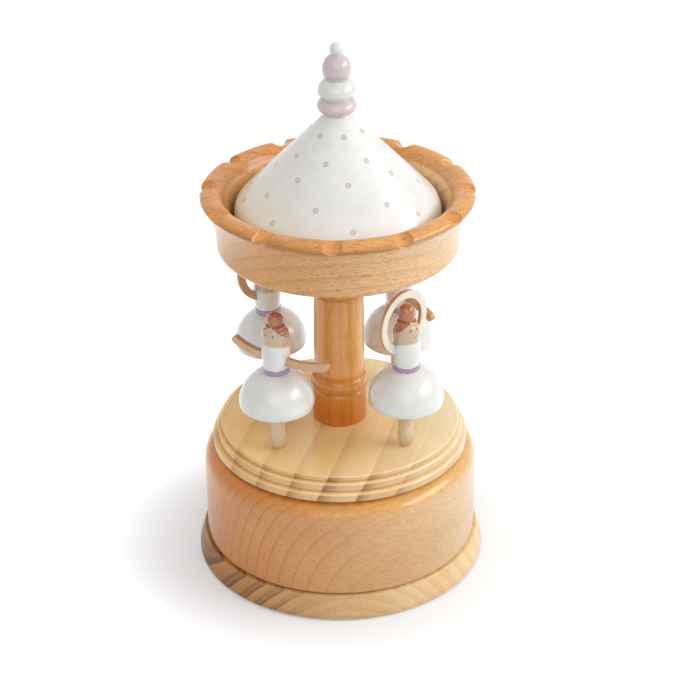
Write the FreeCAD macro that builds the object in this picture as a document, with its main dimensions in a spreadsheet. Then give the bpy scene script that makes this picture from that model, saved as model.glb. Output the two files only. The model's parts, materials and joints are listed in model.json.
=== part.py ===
import FreeCAD, Part
import math
import os
import Sketcher

# A wind-up musical carousel in turned wood. Turning the drum on its base plate winds a spring inside
# the drum. The spring drives a musical movement and turns the table, the column, the canopy and four
# dancers. Millimetres, +Z up, origin at the centre of the foot of the base on the floor.

sizes = {
    # Clearances
    "glue_gap": 0.05,            # radial room of a glued tenon in its hole
    "running_gap": 0.05,         # radial room of a turning shaft in its bore
    "end_gap": 0.2,              # axial room beside a turning piece
    "turning_gap": 0.4,          # shadow line between base plate and drum
    "deck_gap": 0.9,             # shadow line between drum and turntable
    "mesh_gap": 0.05,            # extra centre distance of every gear pair
    # Base plate
    "pad_thickness": 1.5,
    "pad_proud": 0.5,            # how far the felt stands out of the wood
    "pad_radius": 52.0,
    "plate_height": 9.9,
    "plate_ledge": 1.2,          # flat ledge outside the drum
    "plate_bevel": 2.3,          # how far the side leans out from ledge to floor
    "plate_nose": 2.0,           # upright rim at the floor
    "ring_inner_radius": 38.0,
    "ring_width": 6.0,
    "ring_thickness": 1.2,
    "ring_depth": 0.9,           # how deep the slip ring sits in its groove
    "flange_radius": 12.0,
    "flange_thickness": 1.5,
    "flange_hub_radius": 4.0,
    "flange_hub_length": 3.8,
    "flange_screw_count": 3,
    "flange_screw_bite": 4.5,    # how far these screws reach into the plate
    "nut_flats": 7.0,
    "nut_thickness": 2.8,
    "nut_clearance": 1.5,        # room for a spanner round the nut
    # Drum
    "drum_radius": 56.5,
    "drum_height": 40.3,
    "drum_round": 7.5,           # round of the top edge
    "cavity_radius": 46.0,       # room for the movement inside the drum
    "drum_roof": 7.1,
    "floor_thickness": 5.0,
    "floor_seat": 4.0,           # width of the shoulder that the floor board seats on
    "board_screw_count": 4,
    "board_screw_bite": 5.0,
    "movement_screw_count": 3,
    "movement_screw_circle": 9.0,
    "bush_wall": 2.0,
    "bush_flange": 1.0,
    "washer_thickness": 0.7,
    "washer_width": 5.0,
    # Turntable
    "tier_low_height": 3.55,
    "tier_middle_height": 3.75,
    "tier_top_height": 2.7,
    "tier_top_radius": 49.3,
    "tier_middle_step": 1.6,
    "tier_low_step": 1.8,
    "tier_groove": 0.5,
    "tier_arris": 0.4,
    "hub_radius": 14.0,
    "hub_thickness": 2.0,
    "hub_neck_radius": 5.0,
    "hub_neck_length": 3.6,
    "hub_screw_circle": 10.5,
    "hub_screw_count": 3,
    "hub_screw_bite": 2.5,
    # Column
    "column_height": 77.1,
    "foot_radius": 11.0,
    "foot_height": 14.3,
    "bead_height": 6.6,
    "bead_radius": 11.7,
    "groove_depth": 0.7,
    "shaft_low_radius": 10.45,
    "shaft_high_radius": 10.1,
    "head_height": 12.9,
    "low_tenon_radius": 7.0,
    "low_tenon_length": 3.8,
    "high_tenon_radius": 6.0,
    "high_tenon_length": 14.0,
    # Canopy bowl
    "bowl_wall_radius": 48.3,
    "bowl_thickness": 6.1,
    "bowl_floor": 8.4,
    "bowl_height": 26.5,
    "bowl_shoulder_width": 6.5,
    "bowl_shoulder_height": 3.2,
    "bowl_flare_start": 4.5,     # height where the wall begins to lean out
    "bowl_lip_reach": 6.0,       # how far the lip stands out of the wall
    "bowl_lip_width": 4.2,       # from the crest of the rounded lip to its outer edge
    "bowl_lip_round": 2.9,       # height of that round
    "bowl_lip_angle": 150.0,     # how far the round goes on over the crest to the inner wall
    "bowl_flare_angle": 36.0,
    "bowl_cove_start": 14.5,     # height where the inner wall begins to lean out
    "notch_radius": 5.0,
    "notch_depth": 2.8,          # at the lip's outer edge
    "notch_tilt_angle": 20.0,    # each notch rises inwards and runs out on the lip
    "notch_count": 12,
    "notch_turn_angle": -2.7,    # the notches are not quite square to the front
    # Cone roof and finial
    "roof_radius": 40.9,
    "roof_height": 48.9,
    "roof_skirt": 8.0,           # upright part hidden in the bowl
    "roof_chamfer": 1.0,
    "roof_round": 8.1,
    "roof_round_angle": 44.0,
    "roof_top_radius": 4.7,
    "finial_dowel_radius": 3.0,
    "finial_dowel_length": 12.0,
    "finial_foot_radius": 4.6,
    "bead_one_rise": 3.0,
    "bead_one_radius": 7.88,
    "neck_one_rise": 6.3,
    "neck_one_radius": 5.7,
    "bead_two_rise": 9.0,
    "bead_two_radius": 7.62,
    "neck_two_rise": 14.1,
    "neck_two_radius": 4.6,
    "bead_three_rise": 18.2,
    "bead_three_radius": 5.76,
    "neck_three_rise": 23.8,
    "neck_three_radius": 2.1,
    "bead_four_rise": 26.0,
    "bead_four_radius": 2.82,
    "finial_height": 28.6,
    # Dancers, all heights above the turntable
    "dancer_count": 4,
    "dancer_circle": 36.5,
    "dancer_turn_angle": 46.7,
    "leg_foot_radius": 2.4,
    "leg_foot_height": 0.7,
    "leg_calf_foot": 0.9,        # height at which the curve of the calf would end
    "leg_calf_radius": 3.45,
    "leg_calf_rise": 5.2,
    "leg_radius": 3.25,
    "leg_straight_rise": 9.0,
    "leg_peg_radius": 1.5,
    "leg_peg_length": 3.8,
    "leg_seat": 8.0,             # how far the leg goes up into the skirt
    "skirt_rise": 19.9,
    "skirt_edge": 0.4,           # small round under the rim of the skirt
    "skirt_rim_radius": 14.7,
    "skirt_radius": 15.1,
    "skirt_wide_rise": 22.3,
    "waist_rise": 35.9,
    "waist_radius": 5.25,
    "ribbon_height": 2.0,
    "ribbon_radius": 5.45,
    "bodice_low_radius": 5.15,
    "bodice_radius": 5.8,
    "bodice_rise": 44.2,
    "neckline_rise": 47.9,
    "neckline_radius": 5.2,
    "head_radius": 5.5,
    "head_rise": 51.2,
    "crown_rise": 55.8,
    "crown_radius": 4.0,
    "band_radius": 3.9,
    "band_rise": 57.4,
    "bun_foot_radius": 2.6,
    "bun_radius": 3.45,
    "bun_rise": 60.7,
    # Arms
    "arm_width": 3.3,
    "arm_depth": 2.3,
    "arm_bend": 29.0,
    "arm_root_rise": 41.5,
    "arm_root_sink": 1.0,        # how far the strip starts inside the bodice before it is coped
    "arm_root_angle": -6.0,
    "arm_tip_angle": 27.0,
    "arm_twist_angle": 10.0,     # the front left dancer's arms are set a little askew
    "hoop_root_rise": 41.6,      # lowest point of the raised arms
    "hoop_width": 3.4,
    "hoop_depth": 2.4,
    "hoop_gap": 0.65,            # from the bun to the arms above it
    # Musical movement
    "bed_thickness": 2.4,
    "arbor_radius": 2.0,
    "arbor_core_radius": 3.0,
    "clutch_height": 2.0,
    "clutch_wall": 1.1,
    "barrel_disc": 1.2,
    "barrel_disc_margin": 0.2,
    "barrel_radius": 12.5,
    "barrel_wall": 0.8,
    "barrel_height": 12.4,
    "crown_teeth": 36,
    "crown_module": 0.8,
    "crown_face": 2.4,           # radial length of the crown teeth
    "crown_pitch_rise": 0.9,     # pitch plane above the barrel disc
    "spring_inner_radius": 9.3,
    "spring_thickness": 0.3,
    "spring_inner_turns": 1.5,   # loose turns from the packed ones in to the arbor
    "shaft_radius": 3.0,
    "shaft_spigot_radius": 1.5,
    "shaft_top_radius": 2.5,
    "cylinder_radius": 6.5,
    "cylinder_length": 15.0,
    "pin_size": 0.35,
    "pin_height": 0.5,
    "pin_rows": 9,
    "spindle_radius": 0.8,       # arbor of the pinned cylinder
    "cylinder_pinion_teeth": 12,
    "cylinder_pinion_width": 2.2,
    "bracket_thickness": 1.2,
    "bracket_width": 6.0,
    "bracket_crest": 2.5,        # metal above the bearing hole
    "train_module": 0.45,
    "cylinder_wheel_teeth": 32,
    "wheel_width": 1.2,
    "governor_pinion_teeth": 8,
    "governor_angle": 145.4,     # from the cylinder axis to the governor arbor, up from +Y
    "governor_radius": 0.5,
    "worm_module": 0.5,
    "worm_wheel_teeth": 20,
    "worm_pitch_radius": 1.5,
    "worm_root_radius": 0.95,
    "worm_outer_radius": 1.95,
    "worm_turn_count": 3,
    "worm_pivot_radius": 0.45,
    "fan_radius": 4.5,
    "fan_height": 3.0,
    "fan_thickness": 0.4,
    "fan_hub_radius": 1.0,
    "comb_teeth": 18,
    "comb_pitch": 0.8,
    "comb_slot": 0.2,
    "comb_thickness": 0.9,
    "comb_tooth_length": 9.4,
    "comb_base": 6.5,
    "comb_gap": 0.1,             # from the pin tips to the comb
    "comb_margin": 1.0,
    "comb_screw_inset": 3.0,
    "comb_screw_bite": 3.0,
    "bed_margin": 1.2,
    "bed_corner": 3.0,
    "frame_foot": 1.5,
    "frame_bridge": 1.2,
    "frame_wall": 1.2,
    "frame_behind": 2.5,         # frame behind and before the worm, and bridge above the arbor
    "frame_before": 1.6,
    "frame_bridge_rise": 3.2,
    "frame_arm_reach": 2.2,      # cheeks round the governor's arbor
    "frame_arm_half": 1.6,
    "frame_arm_low": 3.0,
    "frame_tab_length": 8.0,     # tab of the foot that takes the two screws
    "frame_screw_inset": 2.1,
    "frame_screw_pitch": 3.9,
    "frame_screw_bite": 2.0,
    # Screws
    "screw_head_radius": 1.7,
    "screw_head_height": 1.0,
    "screw_radius": 0.9,
    "screw_sink": 0.1,           # heads lie this far below the face
    "screw_slot_width": 0.5,
    "screw_slot_depth": 0.4,
}


class Size:
    # A measure as a number, with the spreadsheet expression that gives the same number.
    def __init__(self, number, text):
        self.number = number
        self.text = text

    def __add__(self, other):
        other = as_size(other)
        return Size(self.number + other.number, f"({self.text} + {other.text})")

    def __sub__(self, other):
        other = as_size(other)
        return Size(self.number - other.number, f"({self.text} - {other.text})")

    def __mul__(self, other):
        other = as_size(other)
        return Size(self.number * other.number, f"({self.text} * {other.text})")

    def __truediv__(self, other):
        other = as_size(other)
        return Size(self.number / other.number, f"({self.text} / {other.text})")

    def __radd__(self, other):
        return as_size(other) + self

    def __rsub__(self, other):
        return as_size(other) - self

    def __rmul__(self, other):
        return as_size(other) * self

    def __rtruediv__(self, other):
        return as_size(other) / self

    def __neg__(self):
        return Size(-self.number, f"(0 - {self.text})")


def as_size(value):
    if isinstance(value, Size):
        return value
    return Size(value, f"({value:.9g})")


def cosine(angle):
    angle = as_size(angle)
    return Size(math.cos(math.radians(angle.number)), f"cos({angle.text} * 1 deg)")


def sine(angle):
    angle = as_size(angle)
    return Size(math.sin(math.radians(angle.number)), f"sin({angle.text} * 1 deg)")


class Dimensions:
    # Every size by its name, as in dim.drum_radius.
    def __getattr__(self, name):
        return Size(sizes[name], f"Sizes.{name}")


dim = Dimensions()
zero = as_size(0)

doc = FreeCAD.newDocument("MusicalCarousel")
sheet = doc.addObject("Spreadsheet::Sheet", "Sizes")
for row, (name, number) in enumerate(sizes.items(), start=1):
    sheet.set(f"A{row}", name)
    sheet.set(f"B{row}", str(number))
    sheet.setAlias(f"B{row}", name)
doc.recompute()

nodes = []


# Bodies, sketches and features

def new_body(label):
    body = doc.addObject("PartDesign::Body", "Body")
    body.Label = label
    nodes.append(body)
    return body


def origin_feature(body, role):
    return next(feature for feature in body.Origin.OriginFeatures if feature.Role == role)


def new_sketch(body, plane, offset=zero, tilt=None):
    # The tilt turns the sketch about its own horizontal axis.
    sketch = body.newObject("Sketcher::SketchObject", "Sketch")
    sketch.AttachmentSupport = [(origin_feature(body, plane), "")]
    sketch.MapMode = "FlatFace"
    if tilt is not None:
        turn = FreeCAD.Rotation(FreeCAD.Vector(1, 0, 0), tilt)
        sketch.AttachmentOffset = FreeCAD.Placement(FreeCAD.Vector(0, 0, 0), turn)
    sketch.setExpression("AttachmentOffset.Base.z", offset.text)
    return sketch


def fix_point(sketch, edge, end, x, y):
    for direction, size in (("DistanceX", x), ("DistanceY", y)):
        index = sketch.addConstraint(Sketcher.Constraint(direction, -1, 1, edge, end, size.number))
        sketch.setExpression(f"Constraints[{index}]", size.text)


def draw_outline(sketch, points):
    # A closed outline whose corners are measured from the sketch origin.
    points = [(as_size(x), as_size(y)) for x, y in points]
    corners = [FreeCAD.Vector(x.number, y.number, 0) for x, y in points]
    first = sketch.GeometryCount
    for index, corner in enumerate(corners):
        following = corners[(index + 1) % len(corners)]
        sketch.addGeometry(Part.LineSegment(corner, following), False)
    for index in range(len(points)):
        following = first + (index + 1) % len(points)
        sketch.addConstraint(Sketcher.Constraint("Coincident", first + index, 2, following, 1))
    for index, (x, y) in enumerate(points):
        fix_point(sketch, first + index, 1, x, y)


def draw_box(sketch, left, right, low, high):
    draw_outline(sketch, [(left, low), (right, low), (right, high), (left, high)])


def draw_circle(sketch, x, y, radius):
    x, y = as_size(x), as_size(y)
    centre = FreeCAD.Vector(x.number, y.number, 0)
    circle = Part.Circle(centre, FreeCAD.Vector(0, 0, 1), radius.number)
    edge = sketch.addGeometry(circle, False)
    fix_point(sketch, edge, 3, x, y)
    index = sketch.addConstraint(Sketcher.Constraint("Radius", edge, radius.number))
    sketch.setExpression(f"Constraints[{index}]", radius.text)


def pad(body, sketch, length, both_ways=False, backwards=False):
    feature = body.newObject("PartDesign::Pad", "Pad")
    feature.Profile = sketch
    feature.Length = length.number
    feature.setExpression("Length", length.text)
    feature.Reversed = backwards
    if both_ways:
        feature.SideType = "Symmetric"
    body.Tip = feature
    return feature


def pocket(body, sketch, length=None, backwards=False, both_ways=False):
    # A pocket that removes nothing points the wrong way, so the volume is compared.
    doc.recompute()
    before = body.Shape.Volume
    feature = body.newObject("PartDesign::Pocket", "Pocket")
    feature.Profile = sketch
    feature.Reversed = backwards
    if both_ways:
        feature.SideType = "Symmetric"
    if length is None:
        feature.Type = "ThroughAll"
    else:
        feature.Length = length.number
        feature.setExpression("Length", length.text)
    body.Tip = feature
    doc.recompute()
    if body.Shape.Volume > before - 0.0001:
        raise RuntimeError(f"a pocket in {body.Label} removes nothing")
    return feature


def turn_feature(body, points):
    sketch = new_sketch(body, "XZ_Plane")
    draw_outline(sketch, points)
    feature = body.newObject("PartDesign::Revolution", "Turning")
    feature.Profile = sketch
    feature.ReferenceAxis = (sketch, ["V_Axis"])
    feature.Angle = 360
    body.Tip = feature
    return feature


def turned(label, points, height=zero):
    # A piece turned about Z from an outline of radii and heights.
    body = new_body(label)
    turn_feature(body, points)
    place(body, z=height)
    return body


def round_pattern(body, features, count, axis="Z_Axis"):
    doc.recompute()
    pattern = body.newObject("PartDesign::PolarPattern", "Pattern")
    pattern.Originals = features
    pattern.Axis = (origin_feature(body, axis), [""])
    pattern.Angle = 360
    pattern.Occurrences = int(count.number)
    pattern.setExpression("Occurrences", count.text)
    body.Tip = pattern
    return pattern


def place(body, x=zero, y=zero, z=zero, turn=None, axis=(0, 0, 1)):
    if turn is not None:
        rotation = FreeCAD.Rotation(FreeCAD.Vector(*axis), turn.number)
        body.Placement = FreeCAD.Placement(FreeCAD.Vector(0, 0, 0), rotation)
        body.setExpression("Placement.Rotation.Angle", f"{turn.text} * 1 deg")
    for letter, size in (("x", x), ("y", y), ("z", z)):
        body.setExpression(f"Placement.Base.{letter}", as_size(size).text)


# Outline stretches

def arc(centre_r, centre_z, across, up, start, end, steps):
    # Points on an ellipse quarter or less, both ends included.
    points = []
    for step in range(steps + 1):
        angle = start + (end - start) * step / steps
        points.append((centre_r + across * cosine(angle), centre_z + up * sine(angle)))
    return points


def bead(low_z, low_radius, wide_z, radius, high_z, high_radius, steps):
    # A turned bead from its lower neck to its upper neck, necks included.
    low_angle = math.acos(low_radius.number / radius.number)
    high_angle = math.acos(high_radius.number / radius.number)
    points = [(low_radius, low_z)]
    for step in range(1, 2 * steps):
        share = step / steps - 1
        if share < 0:
            angle = low_angle * share
            height = wide_z - (wide_z - low_z) * (math.sin(-angle) / math.sin(low_angle))
        else:
            angle = high_angle * share
            height = wide_z + (high_z - wide_z) * (math.sin(angle) / math.sin(high_angle))
        points.append((radius * math.cos(angle), height))
    points.append((high_radius, high_z))
    return points


# Heights up the stack, each from the piece below it
plate_underside = dim.pad_proud
plate_top = plate_underside + dim.plate_height
drum_underside = plate_top + dim.turning_gap
floor_top = drum_underside + dim.floor_thickness
drum_top = drum_underside + dim.drum_height
cavity_top = drum_top - dim.drum_roof
table_underside = drum_top + dim.deck_gap
tier_low_top = table_underside + dim.tier_low_height
tier_middle_top = tier_low_top + dim.tier_middle_height
table_top = tier_middle_top + dim.tier_top_height
column_top = table_top + dim.column_height
roof_seat = column_top + dim.bowl_floor
roof_top = roof_seat + dim.roof_height

# Radii shared by neighbours
rebate_radius = dim.cavity_radius + dim.floor_seat
plate_top_radius = dim.drum_radius + dim.plate_ledge
plate_radius = plate_top_radius + dim.plate_bevel
bush_radius = dim.shaft_radius + dim.running_gap + dim.bush_wall
arbor_bore = dim.arbor_radius + dim.running_gap
tier_middle_radius = dim.tier_top_radius + dim.tier_middle_step
tier_low_radius = tier_middle_radius + dim.tier_low_step

# Heights inside the movement
bed_top = floor_top + dim.bed_thickness
barrel_underside = bed_top + dim.clutch_height + dim.end_gap
barrel_deck = barrel_underside + dim.barrel_disc
barrel_top = barrel_deck + dim.barrel_height
crown_pitch_radius = dim.crown_teeth * dim.crown_module / 2
crown_pitch_plane = barrel_deck + dim.crown_pitch_rise
pinion_pitch_radius = dim.cylinder_pinion_teeth * dim.crown_module / 2
spindle_z = crown_pitch_plane + pinion_pitch_radius + dim.mesh_gap

# Places along the cylinder's arbor, from the barrel outwards
crown_inner = crown_pitch_radius - dim.crown_face / 2
crown_outer = crown_pitch_radius + dim.crown_face / 2
disc_radius = crown_outer + dim.barrel_disc_margin
pinion_start = crown_pitch_radius - dim.cylinder_pinion_width / 2
inner_bracket_start = disc_radius + dim.end_gap * 2
inner_bracket_end = inner_bracket_start + dim.bracket_thickness
cylinder_start = inner_bracket_end + dim.end_gap * 2
cylinder_end = cylinder_start + dim.cylinder_length
wheel_start = cylinder_end + dim.end_gap * 4
wheel_end = wheel_start + dim.wheel_width
worm_wheel_start = wheel_end + dim.end_gap * 6
worm_wheel_end = worm_wheel_start + dim.wheel_width
outer_bracket_start = worm_wheel_start
outer_bracket_end = outer_bracket_start + dim.bracket_thickness
spindle_end = outer_bracket_end + dim.end_gap * 2

# Governor places, seen along the cylinder's arbor
cylinder_wheel_radius = dim.cylinder_wheel_teeth * dim.train_module / 2
governor_pinion_radius = dim.governor_pinion_teeth * dim.train_module / 2
governor_distance = cylinder_wheel_radius + governor_pinion_radius + dim.mesh_gap
governor_y = governor_distance * cosine(dim.governor_angle)
governor_z = spindle_z + governor_distance * sine(dim.governor_angle)
worm_wheel_radius = dim.worm_wheel_teeth * dim.worm_module / 2
worm_x = worm_wheel_start + dim.wheel_width / 2
worm_y = governor_y - worm_wheel_radius - dim.worm_pitch_radius - dim.mesh_gap
worm_lead = dim.worm_module * math.pi


# Screws, as a group of separate solids in one node

def screws(label, count, circle, head_face, length, up=True, turn=None):
    # Flat-headed screws on a circle. The head face is the outer face, the shank runs up or down.
    body = new_body(label)
    body.AllowCompound = True
    head_sketch = new_sketch(body, "XY_Plane")
    draw_circle(head_sketch, circle, 0, dim.screw_head_radius)
    head = pad(body, head_sketch, dim.screw_head_height, backwards=not up)
    shank_sketch = new_sketch(body, "XY_Plane")
    draw_circle(shank_sketch, circle, 0, dim.screw_radius)
    shank = pad(body, shank_sketch, length, backwards=not up)
    slot_sketch = new_sketch(body, "XY_Plane")
    reach = dim.screw_head_radius + dim.end_gap
    draw_box(slot_sketch, circle - reach, circle + reach, -dim.screw_slot_width / 2,
             dim.screw_slot_width / 2)
    slot = pocket(body, slot_sketch, dim.screw_slot_depth, backwards=up)
    round_pattern(body, [head, shank, slot], as_size(count))
    place(body, z=head_face, turn=turn)
    return body


def screw_holes(body, count, circle, face, depth, up=True, counterbore=True):
    # Holes for the screws above: the shank's hole is cut to its own size, so its thread bites.
    cuts = []
    if counterbore:
        sink_sketch = new_sketch(body, "XY_Plane", face)
        draw_circle(sink_sketch, circle, 0, dim.screw_head_radius + dim.glue_gap)
        cuts.append(pocket(body, sink_sketch, dim.screw_head_height + dim.screw_sink, backwards=up))
    shank_sketch = new_sketch(body, "XY_Plane", face)
    draw_circle(shank_sketch, circle, 0, dim.screw_radius)
    cuts.append(pocket(body, shank_sketch, depth, backwards=up))
    round_pattern(body, cuts, as_size(count))


# Base, the fixed part that stands on the floor

flange_seat = plate_top - dim.flange_thickness - dim.screw_sink
flange_foot = flange_seat - dim.flange_hub_length
pad_face = dim.pad_thickness
flange_screw_circle = (dim.flange_radius + dim.flange_hub_radius) / 2


def base_pad():
    turned("base_pad", [
        (0, 0),
        (dim.pad_radius, 0),
        (dim.pad_radius, dim.pad_thickness),
        (0, dim.pad_thickness),
    ])


def base_plate():
    pad_recess = dim.pad_radius + dim.end_gap
    nut_room = dim.nut_flats / 2 + dim.nut_clearance
    hub_bore = dim.flange_hub_radius + dim.glue_gap
    flange_recess = dim.flange_radius + dim.glue_gap
    ring_inner = dim.ring_inner_radius - dim.glue_gap
    ring_outer = dim.ring_inner_radius + dim.ring_width + dim.glue_gap
    ring_floor = plate_top - dim.ring_depth
    arris = dim.tier_arris
    body = turned("base_plate", [
        (pad_recess, plate_underside),
        (plate_radius - arris, plate_underside),
        (plate_radius, plate_underside + arris),
        (plate_radius, plate_underside + dim.plate_nose),
        (plate_top_radius + arris * 0.3, plate_top - arris * 0.7),
        (plate_top_radius - arris * 0.3, plate_top),
        (ring_outer, plate_top),
        (ring_outer, ring_floor),
        (ring_inner, ring_floor),
        (ring_inner, plate_top),
        (flange_recess, plate_top),
        (flange_recess, flange_seat),
        (hub_bore, flange_seat),
        (hub_bore, flange_foot),
        (nut_room, flange_foot),
        (nut_room, pad_face),
        (pad_recess, pad_face),
    ])
    screw_holes(body, dim.flange_screw_count, flange_screw_circle, flange_seat,
                dim.flange_screw_bite, up=False, counterbore=False)


def slip_ring():
    low = plate_top - dim.ring_depth
    turned("slip_ring", [
        (dim.ring_inner_radius, low),
        (dim.ring_inner_radius + dim.ring_width, low),
        (dim.ring_inner_radius + dim.ring_width, low + dim.ring_thickness),
        (dim.ring_inner_radius, low + dim.ring_thickness),
    ])


def drive_flange():
    # The flange is glued and screwed into the base plate and holds the winding arbor.
    top = flange_seat + dim.flange_thickness
    body = turned("drive_flange", [
        (dim.arbor_radius, flange_foot),
        (dim.flange_hub_radius, flange_foot),
        (dim.flange_hub_radius, flange_seat),
        (dim.flange_radius, flange_seat),
        (dim.flange_radius, top),
        (dim.arbor_radius, top),
    ])
    screw_holes(body, dim.flange_screw_count, flange_screw_circle, top, dim.flange_thickness,
                up=False)
    screws("drive_flange_screws", dim.flange_screw_count, flange_screw_circle,
           top - dim.screw_sink,
           dim.flange_thickness + dim.flange_screw_bite - dim.screw_sink - dim.end_gap, up=False)


def winding_arbor():
    # The mainspring hooks on the thick core at the top.
    core_low = barrel_deck + dim.end_gap
    core_high = barrel_top - dim.barrel_wall - dim.end_gap
    turned("winding_arbor", [
        (0, flange_foot - dim.nut_thickness - dim.end_gap),
        (dim.arbor_radius, flange_foot - dim.nut_thickness - dim.end_gap),
        (dim.arbor_radius, core_low),
        (dim.arbor_core_radius, core_low),
        (dim.arbor_core_radius, core_high),
        (0, core_high),
    ])


def arbor_nut():
    body = new_body("arbor_nut")
    corner = dim.nut_flats / 2 / math.cos(math.radians(30))
    corners = [(corner * cosine(60 * side), corner * sine(60 * side)) for side in range(6)]
    sketch = new_sketch(body, "XY_Plane")
    draw_outline(sketch, corners)
    draw_circle(sketch, 0, 0, dim.arbor_radius)
    pad(body, sketch, dim.nut_thickness)
    place(body, z=flange_foot - dim.nut_thickness)


# Drum and the pieces fixed in it

board_radius = rebate_radius - dim.end_gap
board_screw_circle = (dim.cavity_radius + board_radius) / 2 - dim.end_gap


def drum():
    round_centre_r = dim.drum_radius - dim.drum_round
    round_centre_z = drum_top - dim.drum_round
    top_round = arc(round_centre_r, round_centre_z, dim.drum_round, dim.drum_round, 0, 90, 5)
    body = turned("drum", [
        (rebate_radius, drum_underside),
        (dim.drum_radius - dim.tier_arris, drum_underside),
        (dim.drum_radius, drum_underside + dim.tier_arris),
        *top_round,
        (bush_radius, drum_top),
        (bush_radius, cavity_top),
        (dim.cavity_radius, cavity_top),
        (dim.cavity_radius, floor_top),
        (rebate_radius, floor_top),
    ])
    screw_holes(body, dim.board_screw_count, board_screw_circle, floor_top,
                dim.board_screw_bite, counterbore=False)


def drum_bush():
    # Flanged brass bush, pressed in from inside.
    bore = dim.shaft_radius + dim.running_gap
    flange = bush_radius + dim.bush_wall
    turned("drum_bush", [
        (bore, cavity_top - dim.bush_flange),
        (flange, cavity_top - dim.bush_flange),
        (flange, cavity_top),
        (bush_radius, cavity_top),
        (bush_radius, drum_top),
        (bore, drum_top),
    ])


def floor_board():
    body = turned("floor_board", [
        (arbor_bore + dim.end_gap, drum_underside),
        (board_radius, drum_underside),
        (board_radius, floor_top),
        (arbor_bore + dim.end_gap, floor_top),
    ])
    screw_holes(body, dim.board_screw_count, board_screw_circle, drum_underside,
                dim.floor_thickness)
    screw_holes(body, dim.movement_screw_count, dim.movement_screw_circle, drum_underside,
                dim.floor_thickness)
    screws("floor_board_screws", dim.board_screw_count, board_screw_circle,
           drum_underside + dim.screw_sink,
           dim.floor_thickness + dim.board_screw_bite - dim.screw_sink - dim.end_gap)
    screws("movement_screws", dim.movement_screw_count, dim.movement_screw_circle,
           drum_underside + dim.screw_sink,
           dim.floor_thickness + dim.bed_thickness - dim.screw_sink - dim.end_gap)


def thrust_washer():
    # Nylon washer on the drum that the turntable's hub runs on.
    bore = dim.shaft_radius + dim.end_gap
    turned("thrust_washer", [
        (bore, drum_top),
        (bore + dim.washer_width, drum_top),
        (bore + dim.washer_width, drum_top + dim.washer_thickness),
        (bore, drum_top + dim.washer_thickness),
    ])


# Musical movement: the bedplate and what is fixed on it

comb_width = dim.comb_teeth * dim.comb_pitch
comb_start = cylinder_start + (dim.cylinder_length - comb_width) / 2
comb_tip = dim.cylinder_radius + dim.pin_height + dim.comb_gap
comb_root = comb_tip + dim.comb_tooth_length
comb_back = comb_root + dim.comb_base
comb_underside = spindle_z - dim.comb_thickness / 2
comb_screw_y = comb_root + dim.comb_base / 2
comb_screw_places = (comb_start + dim.comb_screw_inset,
                     comb_start + comb_width - dim.comb_screw_inset)
inner_frame_start = wheel_start - dim.end_gap * 4 - dim.frame_wall
outer_frame_start = worm_x + dim.worm_outer_radius + dim.end_gap
outer_frame_end = outer_frame_start + dim.frame_wall
frame_back = worm_y - dim.frame_behind
frame_front = worm_y + dim.frame_before
frame_tab_start = inner_frame_start - dim.frame_tab_length
frame_screw_y = (frame_back + frame_front) / 2
frame_screw_places = (frame_tab_start + dim.frame_screw_inset,
                      frame_tab_start + dim.frame_screw_inset + dim.frame_screw_pitch)
bridge_underside = governor_z + dim.frame_bridge_rise
bridge_top = bridge_underside + dim.frame_bridge


def bedplate():
    # Cast plate with the comb's ledge and the two bearing brackets of the pinned cylinder.
    body = new_body("bedplate")
    right = outer_frame_end + dim.end_gap
    left = -(disc_radius + dim.bed_margin)
    near = frame_back - dim.end_gap
    ledge_start = comb_start - dim.comb_margin
    shelf = comb_start + comb_width + dim.comb_margin
    plate = new_sketch(body, "XY_Plane", floor_top)
    draw_outline(plate, [
        (left, near + dim.bed_corner),
        (left + dim.bed_corner, near),
        (right, near),
        (right, dim.bracket_width),
        (shelf, comb_back),
        (ledge_start, comb_back),
        (left + dim.bed_corner, -near),
        (left, -near - dim.bed_corner),
    ])
    draw_circle(plate, 0, 0, arbor_bore)
    pad(body, plate, dim.bed_thickness)
    ledge = new_sketch(body, "XY_Plane", floor_top)
    draw_box(ledge, ledge_start, shelf, comb_root, comb_back)
    pad(body, ledge, comb_underside - floor_top)
    half = dim.bracket_width / 2
    outer_half = half - dim.bracket_thickness
    for start, near_side in ((inner_bracket_start, half), (outer_bracket_start, outer_half)):
        bracket = new_sketch(body, "YZ_Plane", start)
        draw_outline(bracket, [
            (-near_side, floor_top),
            (half, floor_top),
            (half, spindle_z),
            (half / 2, spindle_z + dim.bracket_crest),
            (-near_side / 2, spindle_z + dim.bracket_crest),
            (-near_side, spindle_z),
        ])
        pad(body, bracket, dim.bracket_thickness)
    bearing = new_sketch(body, "YZ_Plane")
    draw_circle(bearing, 0, spindle_z, dim.spindle_radius + dim.running_gap)
    pocket(body, bearing, outer_bracket_end + dim.end_gap, backwards=True)
    screw_holes(body, dim.movement_screw_count, dim.movement_screw_circle, floor_top,
                dim.bed_thickness - dim.end_gap, counterbore=False)
    for x in comb_screw_places:
        hole = new_sketch(body, "XY_Plane", comb_underside)
        draw_circle(hole, x, comb_screw_y, dim.screw_radius)
        pocket(body, hole, dim.comb_screw_bite)
    for x in frame_screw_places:
        hole = new_sketch(body, "XY_Plane", bed_top)
        draw_circle(hole, x, frame_screw_y, dim.screw_radius)
        pocket(body, hole, dim.frame_screw_bite)


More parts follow.
